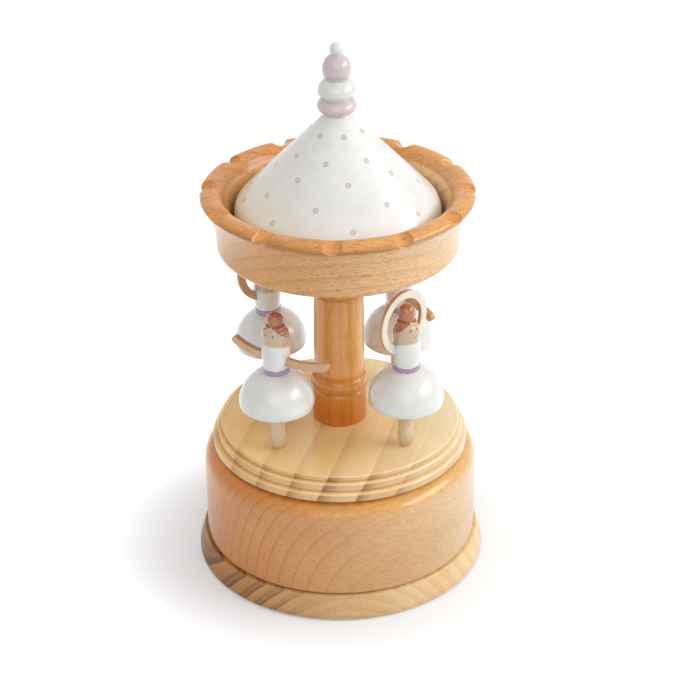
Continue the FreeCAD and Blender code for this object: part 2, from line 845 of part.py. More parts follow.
def comb():
    body = new_body("comb")
    outline = new_sketch(body, "XY_Plane")
    end = comb_start + comb_width
    draw_outline(outline, [
        (comb_start + dim.comb_slot / 2, comb_tip),
        (end - dim.comb_slot / 2, comb_tip),
        (end - dim.comb_slot / 2, comb_root),
        (end + dim.comb_margin, comb_root),
        (end + dim.comb_margin, comb_back),
        (comb_start - dim.comb_margin, comb_back),
        (comb_start - dim.comb_margin, comb_root),
        (comb_start + dim.comb_slot / 2, comb_root),
    ])
    for x in comb_screw_places:
        draw_circle(outline, x, comb_screw_y, dim.screw_radius)
    pad(body, outline, dim.comb_thickness)
    slot = new_sketch(body, "XY_Plane")
    first_slot = comb_start + dim.comb_pitch
    draw_box(slot, first_slot - dim.comb_slot / 2, first_slot + dim.comb_slot / 2,
             comb_tip - dim.end_gap, comb_root)
    cut = pocket(body, slot, dim.comb_thickness, backwards=True)
    pattern = body.newObject("PartDesign::LinearPattern", "Teeth")
    pattern.Originals = [cut]
    pattern.Direction = (origin_feature(body, "X_Axis"), [""])
    pattern.Occurrences = int(sizes["comb_teeth"]) - 1
    pattern.setExpression("Occurrences", "Sizes.comb_teeth - 1")
    pattern.setExpression("Length", (comb_width - 2 * dim.comb_pitch).text)
    body.Tip = pattern
    place(body, z=comb_underside)


def row_screws(label, places, y, seat, length):
    # Screws in a row along X, heads up, with the underside of the heads on the seat.
    body = new_body(label)
    body.AllowCompound = True
    heads = new_sketch(body, "XY_Plane")
    shanks = new_sketch(body, "XY_Plane")
    for x in places:
        draw_circle(heads, x, y, dim.screw_head_radius)
        draw_circle(shanks, x, y, dim.screw_radius)
    pad(body, heads, dim.screw_head_height)
    pad(body, shanks, length, backwards=True)
    slots = new_sketch(body, "XY_Plane", dim.screw_head_height)
    half = dim.screw_slot_width / 2
    reach = dim.screw_head_radius + dim.end_gap
    for x in places:
        draw_box(slots, x - half, x + half, y - reach, y + reach)
    pocket(body, slots, dim.screw_slot_depth)
    place(body, z=seat)


def comb_screws():
    row_screws("comb_screws", comb_screw_places, comb_screw_y, comb_underside + dim.comb_thickness,
               dim.comb_thickness + dim.comb_screw_bite - dim.end_gap)


def clutch_spring():
    # The coil that lets the arbor turn only one way, drawn as the sleeve that its turns fill.
    inner = arbor_bore
    turned("clutch_spring", [
        (inner, bed_top),
        (inner + dim.clutch_wall, bed_top),
        (inner + dim.clutch_wall, bed_top + dim.clutch_height),
        (inner, bed_top + dim.clutch_height),
    ])


def governor_frame():
    body = new_body("governor_frame")
    foot = new_sketch(body, "XY_Plane", bed_top)
    draw_box(foot, frame_tab_start, outer_frame_end, frame_back, frame_front)
    for x in frame_screw_places:
        draw_circle(foot, x, frame_screw_y, dim.screw_radius)
    pad(body, foot, dim.frame_foot)
    arm = governor_y + dim.frame_arm_reach
    cheek_points = [
        (frame_back, bed_top),
        (frame_front, bed_top),
        (frame_front, governor_z - dim.frame_arm_low),
        (arm, governor_z - dim.frame_arm_half),
        (arm, governor_z + dim.frame_arm_half),
        (frame_front, bridge_top),
        (frame_back, bridge_top),
    ]
    for start in (inner_frame_start, outer_frame_start):
        cheek = new_sketch(body, "YZ_Plane", start)
        draw_outline(cheek, cheek_points)
        draw_circle(cheek, governor_y, governor_z, dim.governor_radius + dim.running_gap)
        pad(body, cheek, dim.frame_wall)
    bridge = new_sketch(body, "XY_Plane", bridge_underside)
    draw_box(bridge, inner_frame_start, outer_frame_end, frame_back, frame_front)
    pad(body, bridge, dim.frame_bridge)
    # The inner cheek is hollowed clear of the pinned cylinder
    hollow = new_sketch(body, "YZ_Plane", inner_frame_start)
    draw_circle(hollow, 0, spindle_z, dim.cylinder_radius + dim.pin_height + dim.end_gap * 1.5)
    pocket(body, hollow, dim.frame_wall, backwards=True)
    pivot = new_sketch(body, "XY_Plane", bed_top + dim.end_gap)
    draw_circle(pivot, worm_x, worm_y, dim.worm_pivot_radius + dim.running_gap)
    pocket(body, pivot, backwards=True)
    row_screws("governor_screws", frame_screw_places, frame_screw_y, bed_top + dim.frame_foot,
               dim.frame_foot + dim.frame_screw_bite - dim.end_gap)


# Spring barrel, output shaft and all that turns on top of the drum

def barrel_wheel():
    # Wheel under the spring barrel. Its crown teeth stand up and drive the cylinder's pinion.
    body = turned("barrel_wheel", [
        (arbor_bore, barrel_underside),
        (disc_radius, barrel_underside),
        (disc_radius, barrel_deck),
        (arbor_bore, barrel_deck),
    ])
    half_pitch = dim.crown_module * (math.pi / 2)
    root = barrel_deck
    crest = crown_pitch_plane + dim.crown_module * 0.7
    tooth = new_sketch(body, "YZ_Plane", crown_inner)
    draw_outline(tooth, [
        (-half_pitch * 0.42, root - dim.end_gap),
        (half_pitch * 0.42, root - dim.end_gap),
        (half_pitch * 0.16, crest),
        (-half_pitch * 0.16, crest),
    ])
    first = pad(body, tooth, dim.crown_face)
    round_pattern(body, [first], dim.crown_teeth)
    place(body, turn=180 / dim.crown_teeth)


def barrel_cup():
    inner = dim.barrel_radius - dim.barrel_wall
    roof = barrel_top - dim.barrel_wall
    turned("barrel_cup", [
        (inner, barrel_deck),
        (dim.barrel_radius, barrel_deck),
        (dim.barrel_radius, barrel_top),
        (dim.shaft_spigot_radius, barrel_top),
        (dim.shaft_spigot_radius, roof),
        (inner, roof),
    ])


def mainspring():
    # The run-down spring lies packed against the wall of the barrel. Its last turns run in to the arbor.
    outer = dim.barrel_radius - dim.barrel_wall
    low = barrel_deck + dim.end_gap
    high = barrel_top - dim.barrel_wall - dim.end_gap
    body = turned("mainspring", [
        (dim.spring_inner_radius, low),
        (outer, low),
        (outer, high),
        (dim.spring_inner_radius, high),
    ])
    start = dim.spring_inner_radius + dim.spring_thickness / 2
    end = dim.arbor_core_radius + dim.glue_gap
    steps = int(sizes["spring_inner_turns"] * 20)
    inner_side, outer_side = [], []
    for step in range(steps + 1):
        radius = start - (start - end) * (step / steps)
        turn = 360 * dim.spring_inner_turns * (step / steps)
        wide = radius + dim.spring_thickness
        inner_side.append((radius * cosine(turn), radius * sine(turn)))
        outer_side.append((wide * cosine(turn), wide * sine(turn)))
    strip = new_sketch(body, "XY_Plane", low)
    draw_outline(strip, inner_side + outer_side[::-1])
    pad(body, strip, high - low)


def output_shaft():
    roof = barrel_top - dim.barrel_wall
    hub_top = table_underside + dim.hub_thickness + dim.hub_neck_length
    turned("output_shaft", [
        (0, roof),
        (dim.shaft_spigot_radius, roof),
        (dim.shaft_spigot_radius, barrel_top),
        (dim.shaft_radius, barrel_top),
        (dim.shaft_radius, table_underside),
        (dim.shaft_top_radius, table_underside),
        (dim.shaft_top_radius, hub_top),
        (0, hub_top),
    ])


def turntable_hub():
    low = table_underside
    deck = low + dim.hub_thickness
    body = turned("turntable_hub", [
        (dim.shaft_top_radius, low),
        (dim.hub_radius, low),
        (dim.hub_radius, deck),
        (dim.hub_neck_radius, deck),
        (dim.hub_neck_radius, deck + dim.hub_neck_length),
        (dim.shaft_top_radius, deck + dim.hub_neck_length),
    ])
    screw_holes(body, dim.hub_screw_count, dim.hub_screw_circle, low, dim.hub_thickness)
    screws("hub_screws", dim.hub_screw_count, dim.hub_screw_circle, low + dim.screw_sink,
           dim.hub_thickness + dim.hub_screw_bite - dim.screw_sink - dim.end_gap)


def turntable():
    # Three tiers, each a little wider than the one above, with a groove at each foot.
    low = table_underside
    hub_recess = dim.hub_radius + dim.glue_gap
    neck_bore = dim.hub_neck_radius + dim.glue_gap
    tenon_bore = dim.low_tenon_radius + dim.glue_gap
    tenon_floor = table_top - dim.low_tenon_length - dim.glue_gap
    arris = dim.tier_arris
    groove = dim.tier_groove
    body = turned("turntable", [
        (hub_recess, low),
        (tier_low_radius - arris, low),
        (tier_low_radius, low + arris),
        (tier_low_radius, tier_low_top - arris),
        (tier_low_radius - arris, tier_low_top),
        (tier_middle_radius - groove, tier_low_top),
        (tier_middle_radius, tier_low_top + groove),
        (tier_middle_radius, tier_middle_top - arris),
        (tier_middle_radius - arris, tier_middle_top),
        (dim.tier_top_radius - groove, tier_middle_top),
        (dim.tier_top_radius, tier_middle_top + groove),
        (dim.tier_top_radius, table_top - arris),
        (dim.tier_top_radius - arris, table_top),
        (tenon_bore, table_top),
        (tenon_bore, tenon_floor),
        (neck_bore, tenon_floor),
        (neck_bore, low + dim.hub_thickness),
        (hub_recess, low + dim.hub_thickness),
    ])
    screw_holes(body, dim.hub_screw_count, dim.hub_screw_circle, low + dim.hub_thickness,
                dim.hub_screw_bite, counterbore=False)
    peg_hole = new_sketch(body, "XY_Plane", table_top)
    draw_circle(peg_hole, dim.dancer_circle * cosine(dim.dancer_turn_angle),
                dim.dancer_circle * sine(dim.dancer_turn_angle), dim.leg_peg_radius + dim.glue_gap)
    hole = pocket(body, peg_hole, dim.leg_peg_length + dim.glue_gap)
    round_pattern(body, [hole], dim.dancer_count)


def column():
    # Foot, bead between two grooves, tapered shaft, and the same again under the canopy.
    low = table_top
    foot_top = low + dim.foot_height
    shaft_low = foot_top + dim.bead_height
    shaft_high = column_top - dim.head_height - dim.bead_height
    head_low = column_top - dim.head_height
    arris = dim.tier_arris
    foot_groove = dim.foot_radius - dim.groove_depth
    low_groove = dim.shaft_low_radius - dim.groove_depth
    high_groove = dim.shaft_high_radius - dim.groove_depth
    half_bead = dim.bead_height / 2
    low_bead = bead(foot_top, foot_groove, foot_top + half_bead, dim.bead_radius,
                    shaft_low, low_groove, 3)
    high_bead = bead(shaft_high, high_groove, shaft_high + half_bead, dim.bead_radius,
                     head_low, foot_groove, 3)
    turned("column", [
        (0, low - dim.low_tenon_length),
        (dim.low_tenon_radius, low - dim.low_tenon_length),
        (dim.low_tenon_radius, low),
        (dim.foot_radius - arris, low),
        (dim.foot_radius, low + arris),
        (dim.foot_radius, foot_top - dim.groove_depth),
        *low_bead,
        (dim.shaft_low_radius, shaft_low + dim.groove_depth),
        (dim.shaft_high_radius, shaft_high - dim.groove_depth),
        *high_bead,
        (dim.foot_radius, head_low + dim.groove_depth),
        (dim.foot_radius, column_top),
        (dim.high_tenon_radius, column_top),
        (dim.high_tenon_radius, column_top + dim.high_tenon_length),
        (0, column_top + dim.high_tenon_length),
    ])


def canopy_bowl():
    # Turned bowl with a flared lip, scalloped by round gouges.
    wall = dim.bowl_wall_radius
    inner_wall = wall - dim.bowl_thickness
    top = dim.bowl_height
    reach = dim.bowl_lip_reach
    lip_low = top - dim.bowl_lip_round
    lip = arc(wall + reach - dim.bowl_lip_width, lip_low, dim.bowl_lip_width, dim.bowl_lip_round,
              0, sizes["bowl_lip_angle"], 6)
    inner_end, inner_top = lip[-1]
    full = sizes["bowl_flare_angle"]
    steps = 5
    shoulder = arc(wall - dim.bowl_shoulder_width, dim.bowl_shoulder_height,
                   dim.bowl_shoulder_width, dim.bowl_shoulder_height, -90, 0, 5)
    outer_flare = []
    inner_flare = []
    for step in range(steps + 1):
        angle = math.radians(full * step / steps)
        out = (1 - math.cos(angle)) / (1 - math.cos(math.radians(full)))
        rise = math.sin(angle) / math.sin(math.radians(full))
        outer_z = dim.bowl_flare_start + (lip_low - dim.bowl_flare_start) * rise
        inner_z = dim.bowl_cove_start + (inner_top - dim.bowl_cove_start) * rise
        outer_flare.append((wall + reach * out, outer_z))
        inner_flare.append((inner_wall + (inner_end - inner_wall) * out, inner_z))
    body = turned("canopy_bowl", [
        (dim.high_tenon_radius + dim.glue_gap, 0),
        *shoulder,
        *outer_flare[:-1],
        *lip,
        *reversed(inner_flare[:-1]),
        (inner_wall, dim.bowl_floor),
        (dim.high_tenon_radius + dim.glue_gap, dim.bowl_floor),
    ])
    gouge = new_sketch(body, "XZ_Plane", tilt=sizes["notch_tilt_angle"])
    notch_floor = (wall + reach) * sine(dim.notch_tilt_angle) + (top - dim.notch_depth) * cosine(dim.notch_tilt_angle)
    draw_circle(gouge, 0, notch_floor + dim.notch_radius, dim.notch_radius)
    notch = pocket(body, gouge, backwards=True)
    round_pattern(body, [notch], dim.notch_count)
    place(body, z=column_top, turn=dim.notch_turn_angle)


def roof_cone():
    round_centre = dim.roof_radius - dim.roof_round
    shoulder = arc(round_centre, dim.roof_skirt, dim.roof_round, dim.roof_round,
                   0, sizes["roof_round_angle"], 4)
    socket = dim.high_tenon_radius + dim.glue_gap
    socket_top = dim.high_tenon_length - dim.bowl_floor + dim.glue_gap
    dowel = dim.finial_dowel_radius + dim.glue_gap
    dowel_low = dim.roof_height - dim.finial_dowel_length - dim.glue_gap
    turned("roof_cone", [
        (socket, 0),
        (dim.roof_radius - dim.roof_chamfer, 0),
        (dim.roof_radius, dim.roof_chamfer),
        *shoulder,
        (dim.roof_top_radius, dim.roof_height),
        (dowel, dim.roof_height),
        (dowel, dowel_low),
        (0, dowel_low),
        (0, socket_top),
        (socket, socket_top),
    ], roof_seat)


def finial():
    turned("finial", [
        (0, -dim.finial_dowel_length),
        (dim.finial_dowel_radius, -dim.finial_dowel_length),
        (dim.finial_dowel_radius, 0),
        *bead(zero, dim.finial_foot_radius, dim.bead_one_rise, dim.bead_one_radius,
              dim.neck_one_rise, dim.neck_one_radius, 2),
        *bead(dim.neck_one_rise, dim.neck_one_radius, dim.bead_two_rise, dim.bead_two_radius,
              dim.neck_two_rise, dim.neck_two_radius, 2)[1:],
        *bead(dim.neck_two_rise, dim.neck_two_radius, dim.bead_three_rise, dim.bead_three_radius,
              dim.neck_three_rise, dim.neck_three_radius, 3)[1:],
        *bead(dim.neck_three_rise, dim.neck_three_radius, dim.bead_four_rise, dim.bead_four_radius,
              dim.finial_height, zero, 2)[1:],
    ], roof_top)


# Dancers

dancer_names = ["back_right", "back_left", "front_left", "front_right"]
bun_top = dim.bun_rise + dim.bun_radius
hoop_top = bun_top + dim.hoop_gap + dim.hoop_width
hoop_radius = (hoop_top - dim.hoop_root_rise) / 2
hoop_rise = hoop_top - hoop_radius


def dancer_azimuth(index):
    return dim.dancer_turn_angle + 360 / dim.dancer_count * index


def stand(body, azimuth, twist=zero):
    # Puts a piece drawn at the centre, facing +X, at its dancer's place, facing outwards.
    place(body, dim.dancer_circle * cosine(azimuth), dim.dancer_circle * sine(azimuth), table_top,
          turn=azimuth + twist)


def dancer_leg(name, azimuth):
    body = turned(f"{name}_dancer_leg", [
        (0, -dim.leg_peg_length),
        (dim.leg_peg_radius, -dim.leg_peg_length),
        (dim.leg_peg_radius, 0),
        (dim.leg_foot_radius, 0),
        (dim.leg_foot_radius, dim.leg_foot_height),
        *arc(zero, dim.leg_calf_rise, dim.leg_calf_radius, dim.leg_calf_rise - dim.leg_calf_foot,
             -52, 0, 3),
        (dim.leg_radius, dim.leg_straight_rise),
        (dim.leg_radius, dim.skirt_rise + dim.leg_seat),
        (0, dim.skirt_rise + dim.leg_seat),
    ])
    stand(body, azimuth)


def dancer_body(name, azimuth):
    # Skirt, bodice, head and bun are one turning.
    socket = dim.leg_radius + dim.glue_gap
    socket_top = dim.skirt_rise + dim.leg_seat + dim.glue_gap
    waist_angle = math.degrees(math.acos(sizes["waist_radius"] / sizes["skirt_radius"]))
    dome_height = (dim.waist_rise - dim.skirt_wide_rise) / math.sin(math.radians(waist_angle))
    dome = arc(zero, dim.skirt_wide_rise, dim.skirt_radius, dome_height, 0, waist_angle, 5)
    ribbon_top = dim.waist_rise + dim.ribbon_height
    body = turned(f"{name}_dancer", [
        (socket, dim.skirt_rise),
        (dim.skirt_rim_radius - dim.skirt_edge, dim.skirt_rise),
        (dim.skirt_rim_radius, dim.skirt_rise + dim.skirt_edge),
        *dome,
        (dim.ribbon_radius, dim.waist_rise),
        (dim.ribbon_radius, ribbon_top),
        (dim.bodice_low_radius, ribbon_top),
        (dim.bodice_radius, dim.bodice_rise),
        *bead(dim.neckline_rise, dim.neckline_radius, dim.head_rise, dim.head_radius,
              dim.crown_rise, dim.crown_radius, 2),
        (dim.band_radius, dim.band_rise),
        *bead(dim.band_rise, dim.bun_foot_radius, dim.bun_rise, dim.bun_radius,
              bun_top, zero, 2),
        (0, socket_top),
        (socket, socket_top),
    ])
    stand(body, azimuth)


def arm_outline(side):
    # A flat strip bent upwards in an arc, with a round tip. The root is coped to the bodice.
    root = dim.bodice_low_radius - dim.arm_root_sink
    start, end = sizes["arm_root_angle"], sizes["arm_tip_angle"]
    half = dim.arm_width / 2
    steps = 6
    lower, upper = [], []
    for step in range(steps + 1):
        slope = start + (end - start) * step / steps
        along = root + dim.arm_bend * (sine(slope) - sine(start))
        rise = dim.arm_root_rise + dim.arm_bend * (cosine(start) - cosine(slope))
        lower.append((side * (along + half * sine(slope)), rise - half * cosine(slope)))
        upper.append((side * (along - half * sine(slope)), rise + half * cosine(slope)))
    tip = []
    for turn in (-45, 0, 45):
        out = cosine(end + turn) * half
        lift = sine(end + turn) * half
        tip.append((side * (along + out), rise + lift))
    points = lower + tip + upper[::-1]
    return points if side > 0 else points[::-1]


def bow_arm(name, hand, side, azimuth, twist):
    # The hand is left or right as the dancer would say it. Side +1 is the dancer's left.
    body = new_body(f"{name}_dancer_{hand}_arm")
    strip = new_sketch(body, "YZ_Plane")
    draw_outline(strip, arm_outline(side))
    pad(body, strip, dim.arm_depth, both_ways=True)
    cope = new_sketch(body, "XY_Plane", dim.arm_root_rise - dim.arm_width * 2)
    draw_circle(cope, 0, 0, dim.bodice_radius)
    pocket(body, cope, dim.arm_width * 4, backwards=True)
    stand(body, azimuth, twist)


def arm_hoop(name, azimuth):
    # Both arms raised in a ring round the head, cut from one flat piece and glued to the bodice.
    body = new_body(f"{name}_dancer_arms")
    ring = new_sketch(body, "YZ_Plane")
    draw_circle(ring, 0, hoop_rise, hoop_radius)
    draw_circle(ring, 0, hoop_rise, hoop_radius - dim.hoop_width)
    pad(body, ring, dim.hoop_depth, both_ways=True)
    cope = new_sketch(body, "XY_Plane", dim.hoop_root_rise - dim.end_gap)
    draw_circle(cope, 0, 0, dim.bodice_radius)
    pocket(body, cope, hoop_radius, backwards=True)
    stand(body, azimuth)


def dancers():
    for index, name in enumerate(dancer_names):
        azimuth = dancer_azimuth(index)
        dancer_leg(name, azimuth)
        dancer_body(name, azimuth)
        if index % 2 == 0:
            twist = dim.arm_twist_angle if name == "front_left" else zero
            bow_arm(name, "left", 1, azimuth, twist)
            bow_arm(name, "right", -1, azimuth, twist)
        else:
            arm_hoop(name, azimuth)


# Gears. Each is drawn with its axis along X and its first tooth pointing along +Y.

def gear(label, teeth, module, width, bore, turn, x, y, z):
    radius = teeth * module / 2
    root = radius - module * 1.1
    tip = radius + module * 0.85
    half_pitch = module * (math.pi / 2)
    body = new_body(label)
    disc = new_sketch(body, "YZ_Plane")
    draw_circle(disc, 0, 0, root)
    draw_circle(disc, 0, 0, bore)
    pad(body, disc, width)
    sketch = new_sketch(body, "YZ_Plane")
    draw_outline(sketch, [
        (root - module * 0.3, -half_pitch * 0.48),
        (radius, -half_pitch * 0.36),
        (tip, -half_pitch * 0.16),
        (tip, half_pitch * 0.16),
        (radius, half_pitch * 0.36),
        (root - module * 0.3, half_pitch * 0.48),
    ])
    tooth = pad(body, sketch, width)
    round_pattern(body, [tooth], teeth, "X_Axis")
    place(body, x, y, z, turn=turn, axis=(1, 0, 0))
    return body


def spindle(label, radius, start, end, y, z):
    body = new_body(label)
    sketch = new_sketch(body, "YZ_Plane")
    draw_circle(sketch, 0, 0, radius)
    pad(body, sketch, end - start)
    place(body, start, y, z)
    return body


def pinned_cylinder():
    # Brass cylinder with rows of pins. The tune is a made-up pattern.
    body = new_body("pinned_cylinder")
    drum_sketch = new_sketch(body, "YZ_Plane")
    draw_circle(drum_sketch, 0, 0, dim.cylinder_radius)
    pad(body, drum_sketch, dim.cylinder_length)
    first = (dim.cylinder_length - comb_width) / 2 + dim.comb_pitch / 2
    half = dim.pin_size / 2
    rows = sizes["pin_rows"]
    for row in range(rows):
        tilt = 360 / rows * row
        pins = new_sketch(body, "XY_Plane", tilt=tilt)
        for track in range(row * 5 % 3, sizes["comb_teeth"], 3):
            x = first + dim.comb_pitch * track
            draw_box(pins, x - half, x + half, -half, half)
        pad(body, pins, dim.cylinder_radius + dim.pin_height)
    bore = new_sketch(body, "YZ_Plane")
    draw_circle(bore, 0, 0, dim.spindle_radius)
    pocket(body, bore, backwards=True)
    place(body, cylinder_start, zero, spindle_z, turn=as_size(360 / rows / 2), axis=(1, 0, 0))


def cylinder_train():
    pinned_cylinder()
    spindle("cylinder_arbor", dim.spindle_radius, pinion_start - dim.end_gap, spindle_end,
            zero, spindle_z)
    gear("cylinder_pinion", dim.cylinder_pinion_teeth, dim.crown_module, dim.cylinder_pinion_width,
         dim.spindle_radius, as_size(-90), pinion_start, zero, spindle_z)
    gear("cylinder_wheel", dim.cylinder_wheel_teeth, dim.train_module, dim.wheel_width,
         dim.spindle_radius, dim.governor_angle, wheel_start, zero, spindle_z)


def governor_train():
    spindle("governor_arbor", dim.governor_radius, inner_frame_start, outer_frame_end,
            governor_y, governor_z)
    half_tooth = 180 / dim.governor_pinion_teeth
    gear("governor_pinion", dim.governor_pinion_teeth, dim.train_module, dim.wheel_width,
         dim.governor_radius, dim.governor_angle + 180 + half_tooth,
         wheel_start, governor_y, governor_z)
    gear("worm_wheel", dim.worm_wheel_teeth, dim.worm_module, dim.wheel_width,
         dim.governor_radius, as_size(180), worm_wheel_start, governor_y, governor_z)


def worm():
    # Steel shaft with one thread. The thread is cut as a helix so that it meshes all the way round.
    body = new_body("worm")
    base = bed_top + dim.frame_foot
    pivot_low = bed_top + dim.end_gap * 2
    pivot_high = bridge_top + dim.end_gap * 4 + dim.fan_height
    turn_feature(body, [
        (0, pivot_low),
        (dim.worm_pivot_radius, pivot_low),
        (dim.worm_pivot_radius, base + dim.end_gap),
        (dim.worm_root_radius, base + dim.end_gap),
        (dim.worm_root_radius, bridge_underside - dim.end_gap),
        (dim.worm_pivot_radius, bridge_underside - dim.end_gap),
        (dim.worm_pivot_radius, pivot_high),
        (0, pivot_high),
    ])
    doc.recompute()
    # At azimuth 90 the thread gap faces the wheel's tooth
    start = governor_z + worm_lead / 4 - worm_lead * 2
    thread = new_sketch(body, "XZ_Plane")
    inner = dim.worm_root_radius - 0.1
    draw_outline(thread, [
        (inner, start - worm_lead * 0.22),
        (dim.worm_outer_radius, start - worm_lead * 0.08),
        (dim.worm_outer_radius, start + worm_lead * 0.08),
        (inner, start + worm_lead * 0.22),
    ])
    helix = body.newObject("PartDesign::AdditiveHelix", "Thread")
    helix.Profile = thread
    helix.ReferenceAxis = (thread, ["V_Axis"])
    helix.Mode = "pitch-turns-angle"
    helix.Pitch = worm_lead.number
    helix.setExpression("Pitch", worm_lead.text)
    helix.Turns = sizes["worm_turn_count"]
    helix.setExpression("Turns", "Sizes.worm_turn_count")
    helix.Angle = 0
    body.Tip = helix
    place(body, worm_x, worm_y)


def governor_fan():
    # Two-bladed air brake pressed on the worm's upper pivot.
    body = new_body("governor_fan")
    low = bridge_top + dim.end_gap * 4
    sketch = new_sketch(body, "XY_Plane")
    draw_circle(sketch, 0, 0, dim.fan_hub_radius)
    pad(body, sketch, dim.fan_height)
    blades = new_sketch(body, "XY_Plane")
    half = dim.fan_thickness / 2
    draw_box(blades, -dim.fan_radius, dim.fan_radius, -half, half)
    pad(body, blades, dim.fan_height)
    bore = new_sketch(body, "XY_Plane")
    draw_circle(bore, 0, 0, dim.worm_pivot_radius)
    pocket(body, bore, backwards=True)
    place(body, worm_x, worm_y, low)


base_pad()
base_plate()
slip_ring()
drive_flange()
winding_arbor()
arbor_nut()
drum()
drum_bush()
floor_board()
thrust_washer()
bedplate()
comb()
comb_screws()
clutch_spring()
governor_frame()
barrel_wheel()
barrel_cup()
mainspring()
output_shaft()
turntable_hub()
turntable()
column()
canopy_bowl()
roof_cone()
finial()
dancers()
cylinder_train()
governor_train()
worm()
governor_fan()
doc.recompute()

for thing in doc.Objects:
    if "Invalid" in thing.State or "Error" in thing.State:
        raise RuntimeError(f"{thing.Label} ({thing.Name}) failed: {thing.State}")
for node in nodes:
    if node.Shape.isNull() or not node.Shape.isValid():
        raise RuntimeError(f"{node.Label} has no valid shape")

os.makedirs("parts", exist_ok=True)
for node in nodes:
    node.Shape.exportStep(f"parts/{node.Label}.step")
    print(f"{node.Label}: {len(node.Shape.Solids)} solid, {node.Shape.Volume:.1f} mm3")
print(len(nodes), "nodes")
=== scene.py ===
import bpy
import json
from math import acos, asin, atan2, cos, degrees, pi, radians, sin
from mathutils import Matrix, Vector


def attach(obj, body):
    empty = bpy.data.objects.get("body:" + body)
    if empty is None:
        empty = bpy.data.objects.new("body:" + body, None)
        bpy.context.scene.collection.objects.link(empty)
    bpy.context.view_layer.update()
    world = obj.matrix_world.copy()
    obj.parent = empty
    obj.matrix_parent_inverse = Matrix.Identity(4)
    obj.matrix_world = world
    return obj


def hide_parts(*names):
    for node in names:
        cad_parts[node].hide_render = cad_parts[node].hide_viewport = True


# A wind-up musical carousel in turned wood: drum on a base plate, stepped turntable with four
# ballerinas, column, scalloped bowl, cone roof and a bead finial.

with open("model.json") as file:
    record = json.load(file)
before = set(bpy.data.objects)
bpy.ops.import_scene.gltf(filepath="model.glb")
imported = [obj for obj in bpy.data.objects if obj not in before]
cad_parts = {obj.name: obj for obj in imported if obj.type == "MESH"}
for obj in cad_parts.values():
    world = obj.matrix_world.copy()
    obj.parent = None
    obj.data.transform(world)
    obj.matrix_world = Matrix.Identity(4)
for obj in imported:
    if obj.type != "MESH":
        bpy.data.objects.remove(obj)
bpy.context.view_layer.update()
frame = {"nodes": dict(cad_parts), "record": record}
bpy.ops.object.select_all(action="DESELECT")
mm = 0.001


def srgb(code):
    # A hex sRGB colour as the linear values that the shaders use
    channels = [int(code[start:start + 2], 16) / 255 for start in (0, 2, 4)]
    return tuple(c / 12.92 if c <= 0.04045 else ((c + 0.055) / 1.055) ** 2.4 for c in channels) + (1,)


def plug(node, links):
    # Fills a node's sockets by values and links. A node as a value means its first output in use
    for socket, value in links.items():
        if isinstance(value, bpy.types.Node):
            value = next(output for output in value.outputs if output.enabled)
        if isinstance(value, bpy.types.NodeSocket):
            node.id_data.links.new(value, node.inputs[socket])
        else:
            node.inputs[socket].default_value = value


def addNode(tree, kind, links=None, **settings):
    # One node with its settings and what it is linked from
    node = tree.nodes.new("ShaderNode" + kind)
    for name, value in settings.items():
        setattr(node, name, value)
    plug(node, links or {})
    return node


def startMaterial(name):
    material = bpy.data.materials.new(name)
    material.use_nodes = True
    return material, material.node_tree, material.node_tree.nodes["Principled BSDF"]


def setRamp(node, stops):
    # Colour ramp stops as (place, hex or grey)
    ramp = node.color_ramp
    while len(ramp.elements) > 1:
        ramp.elements.remove(ramp.elements[-1])
    for index, (place, colour) in enumerate(stops):
        stop = ramp.elements[0] if index == 0 else ramp.elements.new(place)
        stop.position = place
        stop.color = srgb(colour) if isinstance(colour, str) else (colour, colour, colour, 1)


# Shaping

def holdCorners(rings):
    # A ring with a third number is a crisp corner: two rings hold it, that many mm to each side
    held = []
    for index, ring in enumerate(rings):
        here = Vector(ring[:2])
        if len(ring) == 3 and 0 < index < len(rings) - 1:
            before = Vector(rings[index - 1][:2]) - here
            after = Vector(rings[index + 1][:2]) - here
            held.append(here + before.normalized() * min(ring[2], before.length * 0.45))
            held.append(here)
            held.append(here + after.normalized() * min(ring[2], after.length * 0.45))
        else:
            held.append(here)
    return held


def curveOf(centreRadius, centreHeight, across, up, start, end, steps):
    # Rings on an arc of an ellipse. Smoothing draws them in, so they start a little outside
    turn = radians(end - start) / steps
    grow = 3 / (2 + cos(turn))
    rings = []
    for step in range(steps + 1):
        angle = radians(start) + turn * step
        rings.append((centreRadius + across * grow * cos(angle), centreHeight + up * grow * sin(angle)))
    return rings


def closeMesh():
    # Merges the doubles and turns the faces outwards
    bpy.ops.mesh.select_all(action="SELECT")
    bpy.ops.mesh.remove_doubles(threshold=0.000002)
    bpy.ops.mesh.normals_make_consistent(inside=False)
    bpy.ops.object.mode_set(mode="OBJECT")
    bpy.ops.object.transform_apply()


